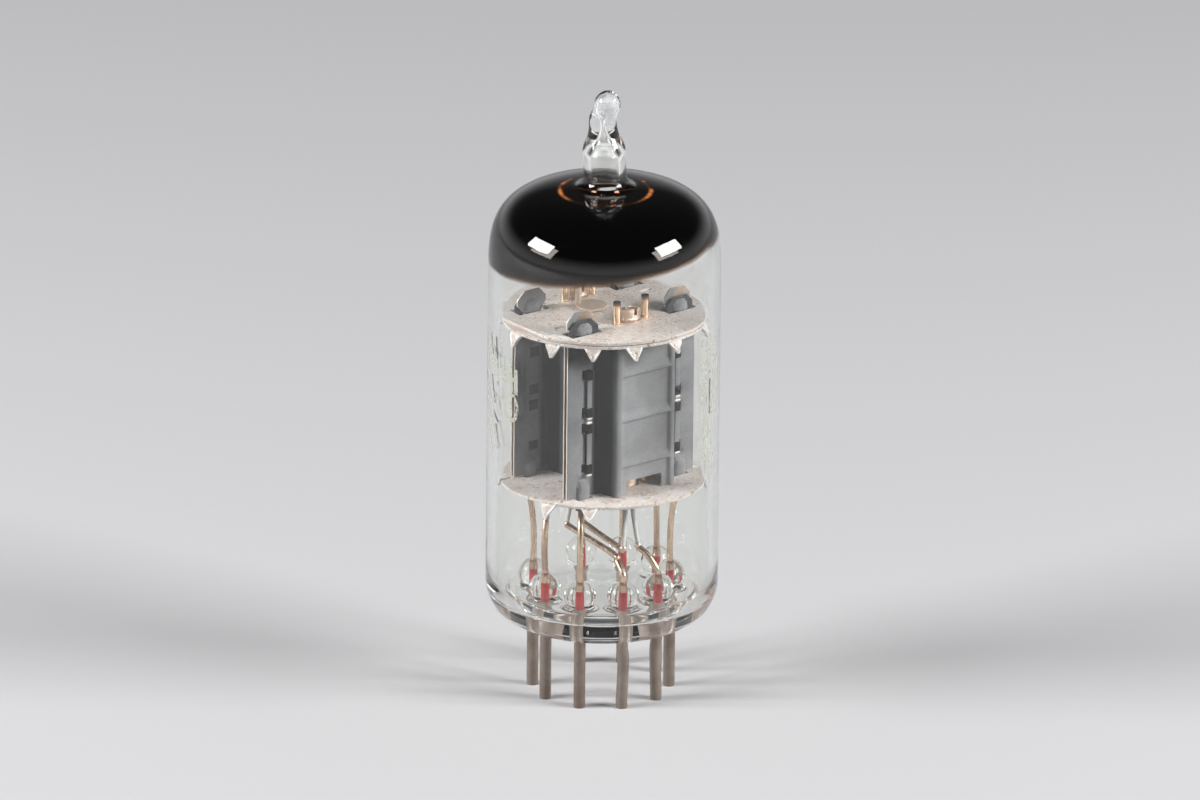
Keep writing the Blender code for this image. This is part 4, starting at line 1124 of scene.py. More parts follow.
def tooth_mesh(angle, middle, seed):
    """One tooth at an angle about the axis, as a sheet with a thickness."""
    chance = Vector((noise.noise(Vector((seed * 3.1, 0.5, 0.2))),
                     noise.noise(Vector((0.3, seed * 2.3, 0.9))),
                     noise.noise(Vector((0.7, 0.1, seed * 1.7)))))
    length = TOOTH_LENGTH * (1 + 0.35 * chance.x)
    bend = math.radians(TOOTH_BEND + 16 * chance.y)
    bm = bmesh.new()
    lines = []
    reach = Vector((MICA_RADIUS - TOOTH_ROOT, 0.0, middle))
    for row in range(TOOTH_ROWS + 1):
        share = row / TOOTH_ROWS
        slope = bend * smooth_step(share * 2.2)
        if row:
            reach += Vector((math.cos(slope), 0.0, -math.sin(slope))) * length / TOOTH_ROWS
        half = TOOTH_HALF_WIDTH * (1 - share) ** 0.85 + TOOTH_POINT
        line = []
        for column in range(TOOTH_COLUMNS + 1):
            across = column / TOOTH_COLUMNS * 2 - 1
            curl = TOOTH_CURL * across ** 2 * share * (1 + chance.z)
            rough = noise.noise(Vector((across * 2.0 + seed, share * 3.0, seed * 0.7))) * TOOTH_WAVE
            skew = chance.z * 0.25 * MM * share
            line.append(bm.verts.new((reach.x + curl + rough, across * half + skew,
                                      reach.z + rough)))
        lines.append(line)
    for one, two in zip(lines, lines[1:]):
        for i in range(TOOTH_COLUMNS):
            face = bm.faces.new((one[i], one[i + 1], two[i + 1], two[i]))
            if i in (0, TOOTH_COLUMNS - 1) or two is lines[-1]:
                face.material_index = TOOTH_BORDER
    mesh = mesh_of("tooth", bm, MICA_FINISHES)
    mesh.transform(Matrix.Rotation(math.radians(angle - 90), 4, "Z"))
    sheet = link_new("tooth", mesh)
    modify(sheet, "SOLIDIFY", thickness=MICA_THICKNESS * TOOTH_WALL, offset=0.0)
    return baked("tooth", sheet)


print("teeth to bend:", len(UPPER_TEETH) + len(LOWER_TEETH))


# %% [markdown]
# Sprayed mica is a matt, pinkish off-white with darker and paler freckles. Round a tooth the
# coat has cracked off, and the torn border is whitish with brown spots.
# %% Mica finishes
# Noise values where a freckle begins and is full, the noise's scale, and the freckle's colour
FRECKLES = ((0.60, 0.70, 2600.0, (0.42, 0.29, 0.23)), (0.58, 0.66, 3700.0, (0.96, 0.95, 0.94)))


def sprayed_mica():
    material, shader = new_finish("sprayed_mica", (0.74, 0.62, 0.54), 0.5)
    patches = grain(material, 300.0, 5.0, roughness=0.7)
    base = ramp(material, patches, [(0.28, (0.64, 0.52, 0.46)), (0.5, (0.78, 0.70, 0.65)),
                                    (0.72, (0.88, 0.84, 0.81))])
    for low, high, scale, colour in FRECKLES:
        spots = remap(material, grain(material, scale, 2.0), low, high)
        base = spotted(material, spots, base, colour)
    join(material, base, shader.inputs["Base Color"])
    join(material, remap(material, patches, 0.3, 0.7, 0.32, 0.62), shader.inputs["Roughness"])
    shader.inputs["Subsurface Weight"].default_value = 0.15
    shader.inputs["Subsurface Radius"].default_value = (0.4 * MM, 0.25 * MM, 0.2 * MM)
    bumps(material, shader, grain(material, 3200.0, 3.0), 0.02 * MM, 0.7)
    return material


def torn_mica():
    material, shader = new_finish("torn_mica", (0.86, 0.82, 0.79), 0.35)
    base = ramp(material, grain(material, 1500.0, 3.0), [(0.36, (0.50, 0.38, 0.31)),
                                                         (0.46, (0.93, 0.90, 0.88))])
    join(material, base, shader.inputs["Base Color"])
    return material


# The sprayed disc, and the torn and whitened border of a tooth
MICA_FINISHES = (sprayed_mica(), torn_mica())


def make_mica(name, node, rim, holes, teeth, seed):
    """One disc with its teeth joined to it."""
    middle = high_of(node).z - MICA_THICKNESS / 2
    parts = [disc_mesh(name, rim, holes, middle)]
    parts += [tooth_mesh(angle, middle, seed + index) for index, angle in enumerate(teeth)]
    mesh = mesh_of(name, joined(parts), MICA_FINISHES)
    return add_piece(name, mesh, [node])


PLAIN_SLITS = ((0.66, -0.247),)
LOWER_SLIT_END = MICA_RADIUS * 0.86 - 0.6 * MM      # the slit runs from here out to the rim
LOWER_SLIT_HALF = 0.175 * MM
lower_rim = ragged_rim(1)
for name in TURNS:
    for side in (-1, 1):
        inner = side * LOWER_SLIT_END
        lower_rim = notched(lower_rim, system_frame(name), inner, LOWER_SLIT_HALF)
make_mica("mica_lower", "lower_mica", lower_rim, mica_holes((), EAR_NECK), LOWER_TEETH, 40)
make_mica("mica_upper_toothed", "upper_mica_toothed", ragged_rim(5), mica_holes((), EAR_WIDTH),
          UPPER_TEETH, 10)
make_mica("mica_upper_plain", "upper_mica_plain", ragged_rim(9, PLAIN_FLAT),
          mica_holes(PLAIN_SLITS, EAR_WIDTH), (), 0)
print("mica finishes:", len(MICA_FINISHES))

# %% [markdown]
# ## Anodes
# Each anode is two pressed halves of nickel sheet, blackened with carbon outside and bare
# inside. A half is a grid: its columns follow the bent section and its rows the height. Ribs
# push rows outwards, cells are left out for slots and for the notch, and the sheet then gets
# its thickness, with bright metal on every cut edge.
# %% Section and rows of an anode half
ANODE_BOTTOM = LOWER_MICA_TOP + FIT_GAP
ANODE_TOP = TOOTHED_MICA_TOP - MICA_THICKNESS - FIT_GAP
ANODE_HEIGHT = ANODE_TOP - ANODE_BOTTOM
SEEN_SHEET = 0.13 * MM          # thinner than the solid's, so that a fin's two edges show apart
FACE_HALF_WIDTH = MICA_RADIUS * 0.35
WALL_SLANT = MICA_RADIUS * 0.05
FACE_DEPTH = MICA_RADIUS * 0.26
PANEL_HALF_WIDTH = MICA_RADIUS * 0.275
PANEL_SLOPE = 0.27 * MM
PANEL_DEPTH = 0.3 * MM
FIN_OUTSIDE = FIN_GAP / 2 + SHEET
FIN_PLANE = FIN_OUTSIDE - SEEN_SHEET / 2
BEND_RADIUS = 0.42 * MM
BEND_STEPS = 6
RIB_HALF = 0.5 * MM
RIB_LIP = 0.14 * MM             # height of the steep lower flank of a rib
RIB_PLACES = (3.05 * MM, 7.25 * MM, 11.4 * MM)
NOTCH_HALF = MICA_RADIUS * 0.438 / 2
NOTCH_HEIGHT = 1.2 * MM
STAPLE_X = FIN_END - MICA_RADIUS * 0.2416
STAPLE_HALF = 0.275 * MM
STAPLE_SPANS = ((2.1 * MM, 6.7 * MM), (7.3 * MM, 11.6 * MM))
STAPLE_END = 0.85 * MM
SLOT_SPARE = 0.35 * MM          # how far a slot reaches past its staple, away from the middle
SLOT_SLACK = 0.05 * MM          # and on its other sides
ROW_SPACING = 0.02 * MM         # rows nearer than this are left out


def round_path(corners, radius, steps):
    """A path through the corners, each inner corner replaced by an arc."""
    path = [Vector(corners[0])]
    for before, corner, after in zip(corners, corners[1:], corners[2:]):
        corner = Vector(corner)
        back = (Vector(before) - corner).normalized()
        ahead = (Vector(after) - corner).normalized()
        half = back.angle(ahead) / 2
        centre = corner + (back + ahead).normalized() * radius / math.sin(half)
        start = corner + back * radius / math.tan(half) - centre
        end = corner + ahead * radius / math.tan(half) - centre
        turn = start.angle_signed(end)
        for step in range(steps + 1):
            path.append(centre + Matrix.Rotation(-turn * step / steps, 2) @ start)
    path.append(Vector(corners[-1]))
    return path


def anode_section(extra):
    """The bent section, with points added on its straight stretches."""
    root = FACE_HALF_WIDTH + WALL_SLANT
    face = FACE_DEPTH - SEEN_SHEET / 2
    corners = [(-FIN_END, FIN_PLANE), (-root, FIN_PLANE), (-FACE_HALF_WIDTH, face),
               (FACE_HALF_WIDTH, face), (root, FIN_PLANE), (FIN_END, FIN_PLANE)]
    path = round_path(corners, BEND_RADIUS, BEND_STEPS)
    slope = [side * (PANEL_HALF_WIDTH + PANEL_SLOPE * i / 5) for side in (-1, 1) for i in range(6)]
    for x in list(extra) + slope:
        depth = FIN_PLANE if abs(x) > root else face
        path.append(Vector((x, depth)))
    return sorted(path, key=lambda point: point.x)


def rib_share(height):
    """One on a rib's crest and nought on a panel: steep below the crest, gentle above it."""
    for middle in RIB_PLACES:
        up = height - (middle - RIB_HALF)
        if 0 <= up < RIB_LIP:
            return math.sqrt(1 - (1 - up / RIB_LIP) ** 2)
        if RIB_LIP <= up < 2 * RIB_HALF:
            return 1 - smooth_step((up - RIB_LIP) / (2 * RIB_HALF - RIB_LIP))
    return 0.0


def panel_share(across):
    """One on the panels and nought on the strips at the face's two corners."""
    return smooth_step((PANEL_HALF_WIDTH + PANEL_SLOPE - abs(across)) / PANEL_SLOPE)


def anode_rows(extra):
    """Heights of the sheet's rows: even ones, those of the ribs, and the extra ones."""
    rows = {0.0, ANODE_HEIGHT}
    for middle in RIB_PLACES:
        rows |= {middle - RIB_HALF + RIB_LIP * i / 4 for i in range(5)}
        rows |= {middle + RIB_HALF * i / 8 for i in range(-5, 9)}
    rows |= set(extra)
    rows |= {ANODE_HEIGHT * i / 24 for i in range(25)}
    kept = []
    for row in sorted(rows):
        if not kept or row - kept[-1] > ROW_SPACING or row in extra:
            kept.append(row)
    return kept


def staple_openings():
    """The slots of the outer half, as ranges along the plate and up it."""
    openings = []
    for side in (-1, 1):
        near = side * (STAPLE_X - STAPLE_HALF - SLOT_SLACK)
        far = side * (STAPLE_X + STAPLE_HALF + SLOT_SPARE)
        for low, high in STAPLE_SPANS:
            for bottom, top in ((low, low + STAPLE_END), (high - STAPLE_END, high)):
                openings.append((min(near, far), max(near, far), bottom - SLOT_SLACK,
                                 top + SLOT_SLACK))
    return openings


print("anode height in mm:", round(ANODE_HEIGHT / MM, 2))

# %% [markdown]
# The carbon coat is a dull, slightly blue grey with a fine grain. Painted light makes it a little
# lighter on the faces. Painted shade makes it near black beside the faces, high up on the fins, on
# the flats of the outer ears and behind the slots, and grey on part of the inner ears. The inner
# side is brownish, softly shiny metal.
# %% Anode finishes


def way_across(material):
    """Distance from the middle of the plates, along them."""
    turn = math.radians(PLATE_ANGLE)
    along = add_node(material, "VectorMath")
    along.operation = "DOT_PRODUCT"
    along.inputs[1].default_value = (math.cos(turn), math.sin(turn), 0.0)
    join(material, object_place(material), along.inputs[0])
    return math_of(material, along.outputs["Value"], 0.0, "ABSOLUTE")


def painted_light_share(material):
    """One on the faces, where painted light makes the coat a little lighter."""
    return remap(material, way_across(material), FACE_HALF_WIDTH + 0.05 * MM,
                 FACE_HALF_WIDTH - 0.15 * MM)


def painted_shade_share(material):
    """One where shade is painted: in the hollow beside the face, and high up on the fins."""
    across = way_across(material)
    edge = STAPLE_X - STAPLE_HALF
    hollow = remap(material, across, edge, edge - 0.5 * MM)
    high = remap(material, axis_of(material, "Z"), ANODE_TOP - 2.6 * MM, ANODE_TOP - 1.3 * MM)
    fin = remap(material, across, FACE_HALF_WIDTH - 0.05 * MM, FACE_HALF_WIDTH + 0.2 * MM)
    below = remap(material, axis_of(material, "Z"), PLAIN_MICA_TOP, PLAIN_MICA_TOP - 0.1 * MM)
    fin = math_of(material, fin, below, "MULTIPLY")
    return math_of(material, math_of(material, hollow, high, "MAXIMUM"), fin, "MULTIPLY")


COAT_SHINE = 0.06               # carbon hardly shines
COAT_GRAIN = 6000.0
COAT_BUMP = 0.004 * MM


def carbon_coat():
    """Dull grey, with painted light on the faces and painted shade beside them and high on the
    fins.
    """
    material, shader = new_finish("carbon_coat", (0.30, 0.30, 0.31), 0.8)
    fine = grain(material, COAT_GRAIN, 3.0)
    slow = grain(material, 260.0, 4.0)
    both = math_of(material, math_of(material, fine, 0.35, "MULTIPLY"),
                   math_of(material, slow, 0.65, "MULTIPLY"))
    base = ramp(material, both, [(0.36, (0.20, 0.20, 0.21)), (0.50, (0.27, 0.27, 0.28)),
                                 (0.64, (0.34, 0.34, 0.35))])
    # Painted light: the faces are mixed a tenth of the way towards light grey.
    base = spotted(material, math_of(material, painted_light_share(material), 0.1, "MULTIPLY"), base,
                   (0.8, 0.8, 0.82))
    # Painted shade: near black beside the faces and high up on the fins.
    base = spotted(material, painted_shade_share(material), base, (0.007, 0.007, 0.008))
    join(material, base, shader.inputs["Base Color"])
    join(material, remap(material, slow, 0.3, 0.7, 0.7, 0.9), shader.inputs["Roughness"])
    shader.inputs["Specular IOR Level"].default_value = COAT_SHINE
    bumps(material, shader, fine, COAT_BUMP, 0.8)
    return material


# A near-black grainy coat; every use of it is painted shade.
def shade_finish(name, level):
    material, shader = new_finish(name, (level, level, level * 1.05), 0.85)
    fine = grain(material, COAT_GRAIN, 3.0)
    base = ramp(material, fine, [(0.35, (level * 0.7, level * 0.7, level * 0.75)),
                                 (0.7, (level * 1.6, level * 1.6, level * 1.65))])
    join(material, base, shader.inputs["Base Color"])
    shader.inputs["Specular IOR Level"].default_value = COAT_SHINE
    bumps(material, shader, fine, COAT_BUMP, 0.8)
    return material


BROWN_NICKEL = drawn_metal("brown_nickel", (0.42, 0.33, 0.26), (0.26, 0.19, 0.145), 0.5, 0.45)
# Painted shade for the flats of the outer ears.
SHADE_COAT = shade_finish("shade_finish", 0.05)
CARBON = carbon_coat()
# Outside, inside and cut edge; the same with painted shade on the outer ears' flats; the painted
# black shade behind the slots and on the staples; and outside, inside and cut edge where the inner
# ears' left part is painted grey shade on both sides
ANODE_FINISHES = (CARBON, BROWN_NICKEL, TORN_NICKEL, SHADE_COAT, SHADE_COAT, SHADE_COAT,
                  shade_finish("painted_black", 0.008), CARBON, CARBON, TORN_NICKEL)
TORN, SHADED_EAR, BLACK_SHADE, GREY_SHADE = 2, 3, 6, 7
print("anode finishes:", len(ANODE_FINISHES))

# %% [markdown]
# A sheet is drawn open. Solidify gives it its thickness and sets the inner side and the cut
# edges apart with finishes of their own, which lie one and two places after the outer side's.
# %% Thickness, and one pressed half


def solid_sheet(name, bm, place):
    """Give an open sheet its thickness and softened edges: outside, inside and edge finish."""
    sheet = link_new(name, mesh_of(name, bm, ANODE_FINISHES))
    modify(sheet, "SOLIDIFY", thickness=SEEN_SHEET, offset=0.0, use_even_offset=True,
           material_offset=1, material_offset_rim=TORN)
    soften(sheet, EDGE_BEVEL)
    return placed(name, sheet, place)


def pressed_half(side):
    """The sheet of one half in its system's frame; side is +1 outwards, -1 inwards."""
    notch = (-NOTCH_HALF, NOTCH_HALF, -SHEET, NOTCH_HEIGHT)
    slots = staple_openings()
    cuts = [notch] + slots if side > 0 else [notch]
    columns = anode_section({x for opening in [notch] + slots for x in opening[:2]})
    extra = {z for opening in [notch] + slots for z in opening[2:] if z > 0}
    rows = anode_rows(extra)
    bm = bmesh.new()
    lines = []
    for height in rows:
        line = []
        for point in columns:
            sunk = PANEL_DEPTH * panel_share(point.x) * (1 - rib_share(height))
            line.append(bm.verts.new((point.x, side * (point.y - sunk), ANODE_BOTTOM + height)))
        lines.append(line)
    for r in range(len(rows) - 1):
        for c in range(len(columns) - 1):
            x = (columns[c].x + columns[c + 1].x) / 2
            z = (rows[r] + rows[r + 1]) / 2
            if any(a < x < b and low < z < high for a, b, low, high in cuts):
                continue
            ring = (lines[r][c], lines[r][c + 1], lines[r + 1][c + 1], lines[r + 1][c])
            face = bm.faces.new(ring if side < 0 else ring[::-1])
            # Painted black shade on the inner sheet behind each slot.
            if any(a < x < b and low < z < high for a, b, low, high in slots):
                face.material_index = BLACK_SHADE
    loose = [corner for corner in bm.verts if not corner.link_faces]
    bmesh.ops.delete(bm, geom=loose, context="VERTS")
    return bm


print("rows of a half:", len(anode_rows(())))


# %% [markdown]
# Ears grow out of the fins and stand up through wide slots of the micas. An ear is an
# eight-sided lobe with a half-round boss pressed into it, drawn as rings round its middle. The
# inner half's ears stand taller than the outer half's. Small tabs with a boss of their own reach
# down through the lower mica.
# %% Ears, tabs and bosses
EAR_HEIGHT = 2.0 * MM
EAR_EDGE = 1.5 * MM
EAR_SHOULDER = 0.72 * MM
EAR_TOPS = {1: 1.2 * MM, -1: 1.88 * MM}     # above the plain mica
# A boss is given by its half width, its lower and its upper end
EAR_BOSSES = {1: (0.75 * MM, 0.1 * MM, 1.65 * MM), -1: (0.75 * MM, -0.6 * MM, 1.1 * MM)}
NO_BOSS = (0.5 * MM, 9 * MM, 10 * MM)           # far above the sheet
BOSS_DEPTH = 0.4 * MM
NECK_LOW = 0.4 * MM             # how far a neck starts below the anode's top
NECK_LAP = 0.1 * MM             # how far it reaches into the ear
TAB_LENGTH = 0.8 * MM           # what stands out below the lower mica
TAB_TOP = 2.2 * MM              # its upper end, measured up from the anode's foot
TAB_BOSS_HALF = 0.625 * MM
TAB_BOSS_TOP = 1.45 * MM


def boss_rise(across, up, half, bottom, top):
    """A half-round boss with round ends, between two heights."""
    middle = min(max(up, bottom + half), top - half)
    away = math.hypot(across, up - middle) / half
    return BOSS_DEPTH * math.sqrt(max(0.0, 1 - away ** 2)) if away < 1 else 0.0


def lobe_sheet(outline, boss):
    """A flat lobe in X and Z with a boss that stands out along Y."""
    bm = bmesh.new()
    middle = sum(outline, Vector((0, 0))) / len(outline)
    rings, steps = 12, 6
    edge = [outline[i].lerp(outline[(i + 1) % len(outline)], step / steps)
            for i in range(len(outline)) for step in range(steps)]
    lines = []
    for ring in range(1, rings + 1):
        spots = [middle.lerp(point, ring / rings) for point in edge]
        lines.append([bm.verts.new((p.x, boss_rise(p.x, p.y, *boss), p.y)) for p in spots])
    centre = bm.verts.new((middle.x, boss_rise(middle.x, middle.y, *boss), middle.y))
    count = len(edge)
    for i in range(count):
        j = (i + 1) % count
        bm.faces.new((centre, lines[0][j], lines[0][i]))
        for one, two in zip(lines, lines[1:]):
            bm.faces.new((one[i], one[j], two[j], two[i]))
    bmesh.ops.recalc_face_normals(bm, faces=bm.faces)
    if sum(face.normal.y for face in bm.faces) < 0:
        bmesh.ops.reverse_faces(bm, faces=bm.faces)
    return bm


def fin_frame(name, x, side, height):
    """A frame in the middle of a fin's sheet; its Y axis points out of the anode."""
    place = system_frame(name) @ Matrix.Translation((x, side * FIN_PLANE, height))
    return place @ Matrix.Rotation(0.0 if side > 0 else math.pi, 4, "Z")


def eight_sides():
    """The outline of an ear, from its foot up."""
    half, edge = EAR_WIDTH / 2, EAR_EDGE / 2
    right = [(edge, 0.0), (half, EAR_SHOULDER), (half, EAR_HEIGHT - EAR_SHOULDER),
             (edge, EAR_HEIGHT)]
    return [Vector(point) for point in right] + [Vector((-x, z)) for x, z in right[::-1]]


def four_sides(half, low, high):
    return [Vector((-half, low)), Vector((half, low)), Vector((half, high)), Vector((-half, high))]


def fin_extras(name, side):
    """Ears, their necks and the lower tabs of one half, each a finished mesh."""
    made = []
    ear_low = PLAIN_MICA_TOP + EAR_TOPS[side] - EAR_HEIGHT
    tab_end = LOWER_MICA_BOTTOM - TAB_LENGTH - ANODE_BOTTOM
    for x in (-EAR_X, EAR_X):
        ear = lobe_sheet(eight_sides(), EAR_BOSSES[side])
        # Painted shade: on the inner ears the left part is grey coat on both sides instead of
        # brown.
        for face in ear.faces:
            middle = face.calc_center_median()
            # Painted shade: the outer ears' flats are near black, and only the boss keeps the grey
            # coat.
            if side > 0:
                face.material_index = SHADED_EAR if abs(face.normal.y) > 0.999 else 0
            elif middle.x < (middle.z - EAR_HEIGHT) * 0.75:
                face.material_index = GREY_SHADE
        made.append(solid_sheet("ear", ear, fin_frame(name, x, side, ear_low)))
        neck = four_sides(EAR_NECK / 2, -NECK_LOW, ear_low + NECK_LAP - ANODE_TOP)
        if side < 0:
            made.append(solid_sheet("neck", lobe_sheet(neck, NO_BOSS),
                                    fin_frame(name, x, side, ANODE_TOP)))
        foot = lobe_sheet(four_sides(EAR_NECK / 2, tab_end, TAB_TOP),
                          (TAB_BOSS_HALF, tab_end - MM, TAB_BOSS_TOP))
        made.append(solid_sheet("foot", foot, fin_frame(name, x, side, ANODE_BOTTOM)))
    return made


print("corners of an ear:", len(eight_sides()))


# %% [markdown]
# The inner half is clinched to the outer one by staples lanced out of its own sheet: each
# passes through two slots, and its torn ends shine where the coat has cracked off.
# %% Staples
STAPLE_PROUD = 0.4 * MM         # how far its end blocks stand out of the outer half
STAPLE_RECESS = 0.12 * MM       # how much lower the bar between them lies
STAPLE_CLEAR = 0.03 * MM        # between the bar and the sheet below it
STAPLE_ROUND = 0.05 * MM
TORN_END = 0.2 * MM
TORN_RECESS = 0.06 * MM


def bar_mesh(outline, x_low, x_high, finish_of, place):
    """A bar whose side outline is given in Y and Z, with softened edges."""
    bm = bmesh.new()
    face = bm.faces.new([bm.verts.new((x_low, y, z)) for y, z in outline])
    grown = bmesh.ops.extrude_face_region(bm, geom=[face], use_keep_orig=True)
    moved = [item for item in grown["geom"] if isinstance(item, bmesh.types.BMVert)]
    bmesh.ops.translate(bm, verts=moved, vec=(x_high - x_low, 0, 0))
    bmesh.ops.recalc_face_normals(bm, faces=bm.faces)
    mesh = mesh_of("bar", bm, ANODE_FINISHES)
    for face in mesh.polygons:
        face.material_index = finish_of(face)
    bar = link_new("bar", mesh)
    soften(bar, STAPLE_ROUND, 3)
    return placed("bar", bar, place)


def staple_meshes(name):
    """Both staples of each fin, with a bright torn end wherever the coat has cracked off."""
    made = []
    inner = -FIN_PLANE
    outer = FIN_OUTSIDE + STAPLE_PROUD
    under = outer - STAPLE_PROUD + STAPLE_CLEAR
    tears = {STAPLE_SPANS[0]: (True, True), STAPLE_SPANS[1]: (True, False)}
    bar = outer - STAPLE_RECESS
    for x in (-STAPLE_X, STAPLE_X):
        for span in STAPLE_SPANS:
            low, high = ANODE_BOTTOM + span[0], ANODE_BOTTOM + span[1]
            inside = (low + STAPLE_END, high - STAPLE_END)
            outline = [(inner, low), (outer, low), (outer, inside[0]), (bar, inside[0]),
                       (bar, inside[1]), (outer, inside[1]), (outer, high), (inner, high),
                       (inner, inside[1]), (under, inside[1]), (under, inside[0]),
                       (inner, inside[0])]
            sides = (x - STAPLE_HALF, x + STAPLE_HALF)

            def staple_shading(face, reach=inside):
                """The coat only on the top of the bar; painted black shade on the end blocks and
                every other side.
                """
                on_bar = reach[0] < face.center.z < reach[1] and face.normal.y > 0.9
                return 0 if on_bar else BLACK_SHADE

            made.append(bar_mesh(outline, *sides, staple_shading, system_frame(name)))
            ends = ((low - TORN_END, low), (high, high + TORN_END))
            for (start, end), shines in zip(ends, tears[span]):
                torn = [(under - SHEET, start), (outer - TORN_RECESS, start),
                        (outer - TORN_RECESS, end), (under - SHEET, end)]
                if shines:
                    made.append(bar_mesh(torn, *sides, lambda face: TORN, system_frame(name)))
    return made


def make_anode_half(name, side):
    """One half with its ears, tabs and staples as one piece."""
    word = "outer" if side > 0 else "inner"
    parts = [solid_sheet("half", pressed_half(side), system_frame(name))]
    parts += fin_extras(name, side)
    if side < 0:
        parts += staple_meshes(name)
    mesh = mesh_of(f"{name}_anode_{word}_half", joined(parts), ANODE_FINISHES)
    return add_piece(mesh.name, mesh, [f"{name}_anode_{word}"])


for name in TURNS:
    for side in (1, -1):
        half = make_anode_half(name, side)
        print(half.name, len(half.data.polygons), "faces")

# %% [markdown]
# ## Grids
# Each grid hangs on two rods of gilt copper, whose tops have been singed dark in the flame.
# %% Grid rods
ROD_TOP = PLAIN_MICA_TOP + 2.0 * MM
ROD_BOTTOM = LOWER_MICA_BOTTOM - 1.2 * MM


def rod_copper():
    """Gilt copper, dark where it was singed at the top."""
    material, shader = new_finish("rod_copper", (0.86, 0.62, 0.42), 0.2, 1.0)
    ragged = math_of(material, grain(material, 700.0, 3.0), 0.7 * MM, "MULTIPLY")
    height = math_of(material, axis_of(material, "Z"), ragged)
    singed = remap(material, height, ROD_TOP - 0.3 * MM, ROD_TOP + 0.3 * MM)
    colour = ramp(material, singed, [(0.0, (0.88, 0.66, 0.46)), (0.35, (0.80, 0.52, 0.32)),
                                     (0.62, (0.22, 0.13, 0.08)), (1.0, (0.05, 0.035, 0.03))])
    join(material, colour, shader.inputs["Base Color"])
    join(material, remap(material, singed, 0.3, 0.8, 0.16, 0.5), shader.inputs["Roughness"])
    bumps(material, shader, grain(material, 1800.0, 2.0, (1, 1, 0.12)), 0.005 * MM, 0.6)
    return material


ROD_COPPER = rod_copper()
ROD_SIDES = {"left": 1, "right": -1}
for name in TURNS:
    for word, side in ROD_SIDES.items():
        x = side * ROD_HALF_SPACING
        ends = [system_point(name, x, 0.0, z) for z in (ROD_BOTTOM, ROD_TOP)]
        mesh = wire_mesh(f"{name}_rod_{word}", [ends], ROD_DIAMETER, ROD_COPPER)
        add_piece(mesh.name, mesh, [f"{name}_grid_rod_{word}"])
print("grid rods:", len(TURNS) * len(ROD_SIDES))

# %% [markdown]
# A hair-thin wire is wound round the two rods. Its node tree starts from a spiral of radius one,
# stretches it to an oval and sweeps a small circle along it.
# %% Winding tree


def winding_tree():
    tree, entry, leave = new_tree("fine_winding", [
        ("Half Width", "Float"), ("Half Depth", "Float"), ("Height", "Float"), ("Turns", "Float"),
        ("Wire", "Float"), ("Steps", "Int"), ("Material", "Material")])
    link = tree.links.new
    spiral = geo_node(tree, "GeometryNodeCurveSpiral")
    link(entry.outputs["Steps"], spiral.inputs["Resolution"])
    link(entry.outputs["Turns"], spiral.inputs["Rotations"])
    link(entry.outputs["Height"], spiral.inputs["Height"])
    for socket in ("Start Radius", "End Radius"):
        spiral.inputs[socket].default_value = 1.0
    shape = geo_node(tree, "ShaderNodeCombineXYZ")
    link(entry.outputs["Half Width"], shape.inputs["X"])
    link(entry.outputs["Half Depth"], shape.inputs["Y"])
    shape.inputs["Z"].default_value = 1.0
    oval = geo_node(tree, "GeometryNodeTransform")
    link(spiral.outputs[0], oval.inputs["Geometry"])
    link(shape.outputs[0], oval.inputs["Scale"])
    radius = tree_math(tree, "MULTIPLY", entry.outputs["Wire"], 0.5)
    circle, swept = sweep(tree, oval.outputs[0], radius)
    circle.inputs["Resolution"].default_value = 6
    finish_tree(tree, swept, entry, leave)
    return tree


WINDING_TREE = winding_tree()
WINDING_WIRE = 0.07 * MM
WINDING_TURNS = 46
WINDING_STEPS = 28              # points in one turn
WINDING_HALF_DEPTH = MICA_RADIUS * 0.0955
WINDING_MARGIN = 0.95 * MM      # bare rod at both ends of the anode
for name in TURNS:
    reach = ROD_HALF_SPACING + (ROD_DIAMETER + WINDING_WIRE) / 2
    carrier = link_new(f"{name}_winding", bpy.data.meshes.new(f"{name}_winding"))
    mesh = run_tree(f"{name}_winding", carrier, WINDING_TREE, {
        "Half Width": reach, "Half Depth": WINDING_HALF_DEPTH,
        "Height": ANODE_HEIGHT - 2 * WINDING_MARGIN, "Turns": float(WINDING_TURNS),
        "Wire": WINDING_WIRE, "Steps": WINDING_STEPS, "Material": GRID_COPPER})
    mesh.transform(system_frame(name) @ Matrix.Translation((0, 0, ANODE_BOTTOM + WINDING_MARGIN)))
    add_piece(mesh.name, mesh, [f"{name}_grid_winding"])
print("turns of each winding:", WINDING_TURNS)

# %% [markdown]
# ## Cathodes and heaters
# A cathode is an oval nickel sleeve with a pressed bead that rests on the mica and two slits
# at its mouth. Inside it stands the heater, a tungsten hairpin baked in white alumina.
# %% Cathode sleeves
SLEEVE_BOTTOM = LOWER_MICA_BOTTOM - 0.9 * MM
SLEEVE_TOP = PLAIN_MICA_TOP + 1.15 * MM
SLEEVE_WALL = 0.1 * MM
SLEEVE_SIDES = 56
SLEEVE_SLIT = 0.6 * MM
SLEEVE_BEAD = 0.05 * MM         # how far the pressed bead stands out
BEAD_HEIGHT, BEAD_SPREAD = 0.2 * MM, 0.09 * MM  # its middle above the mica, and its half width


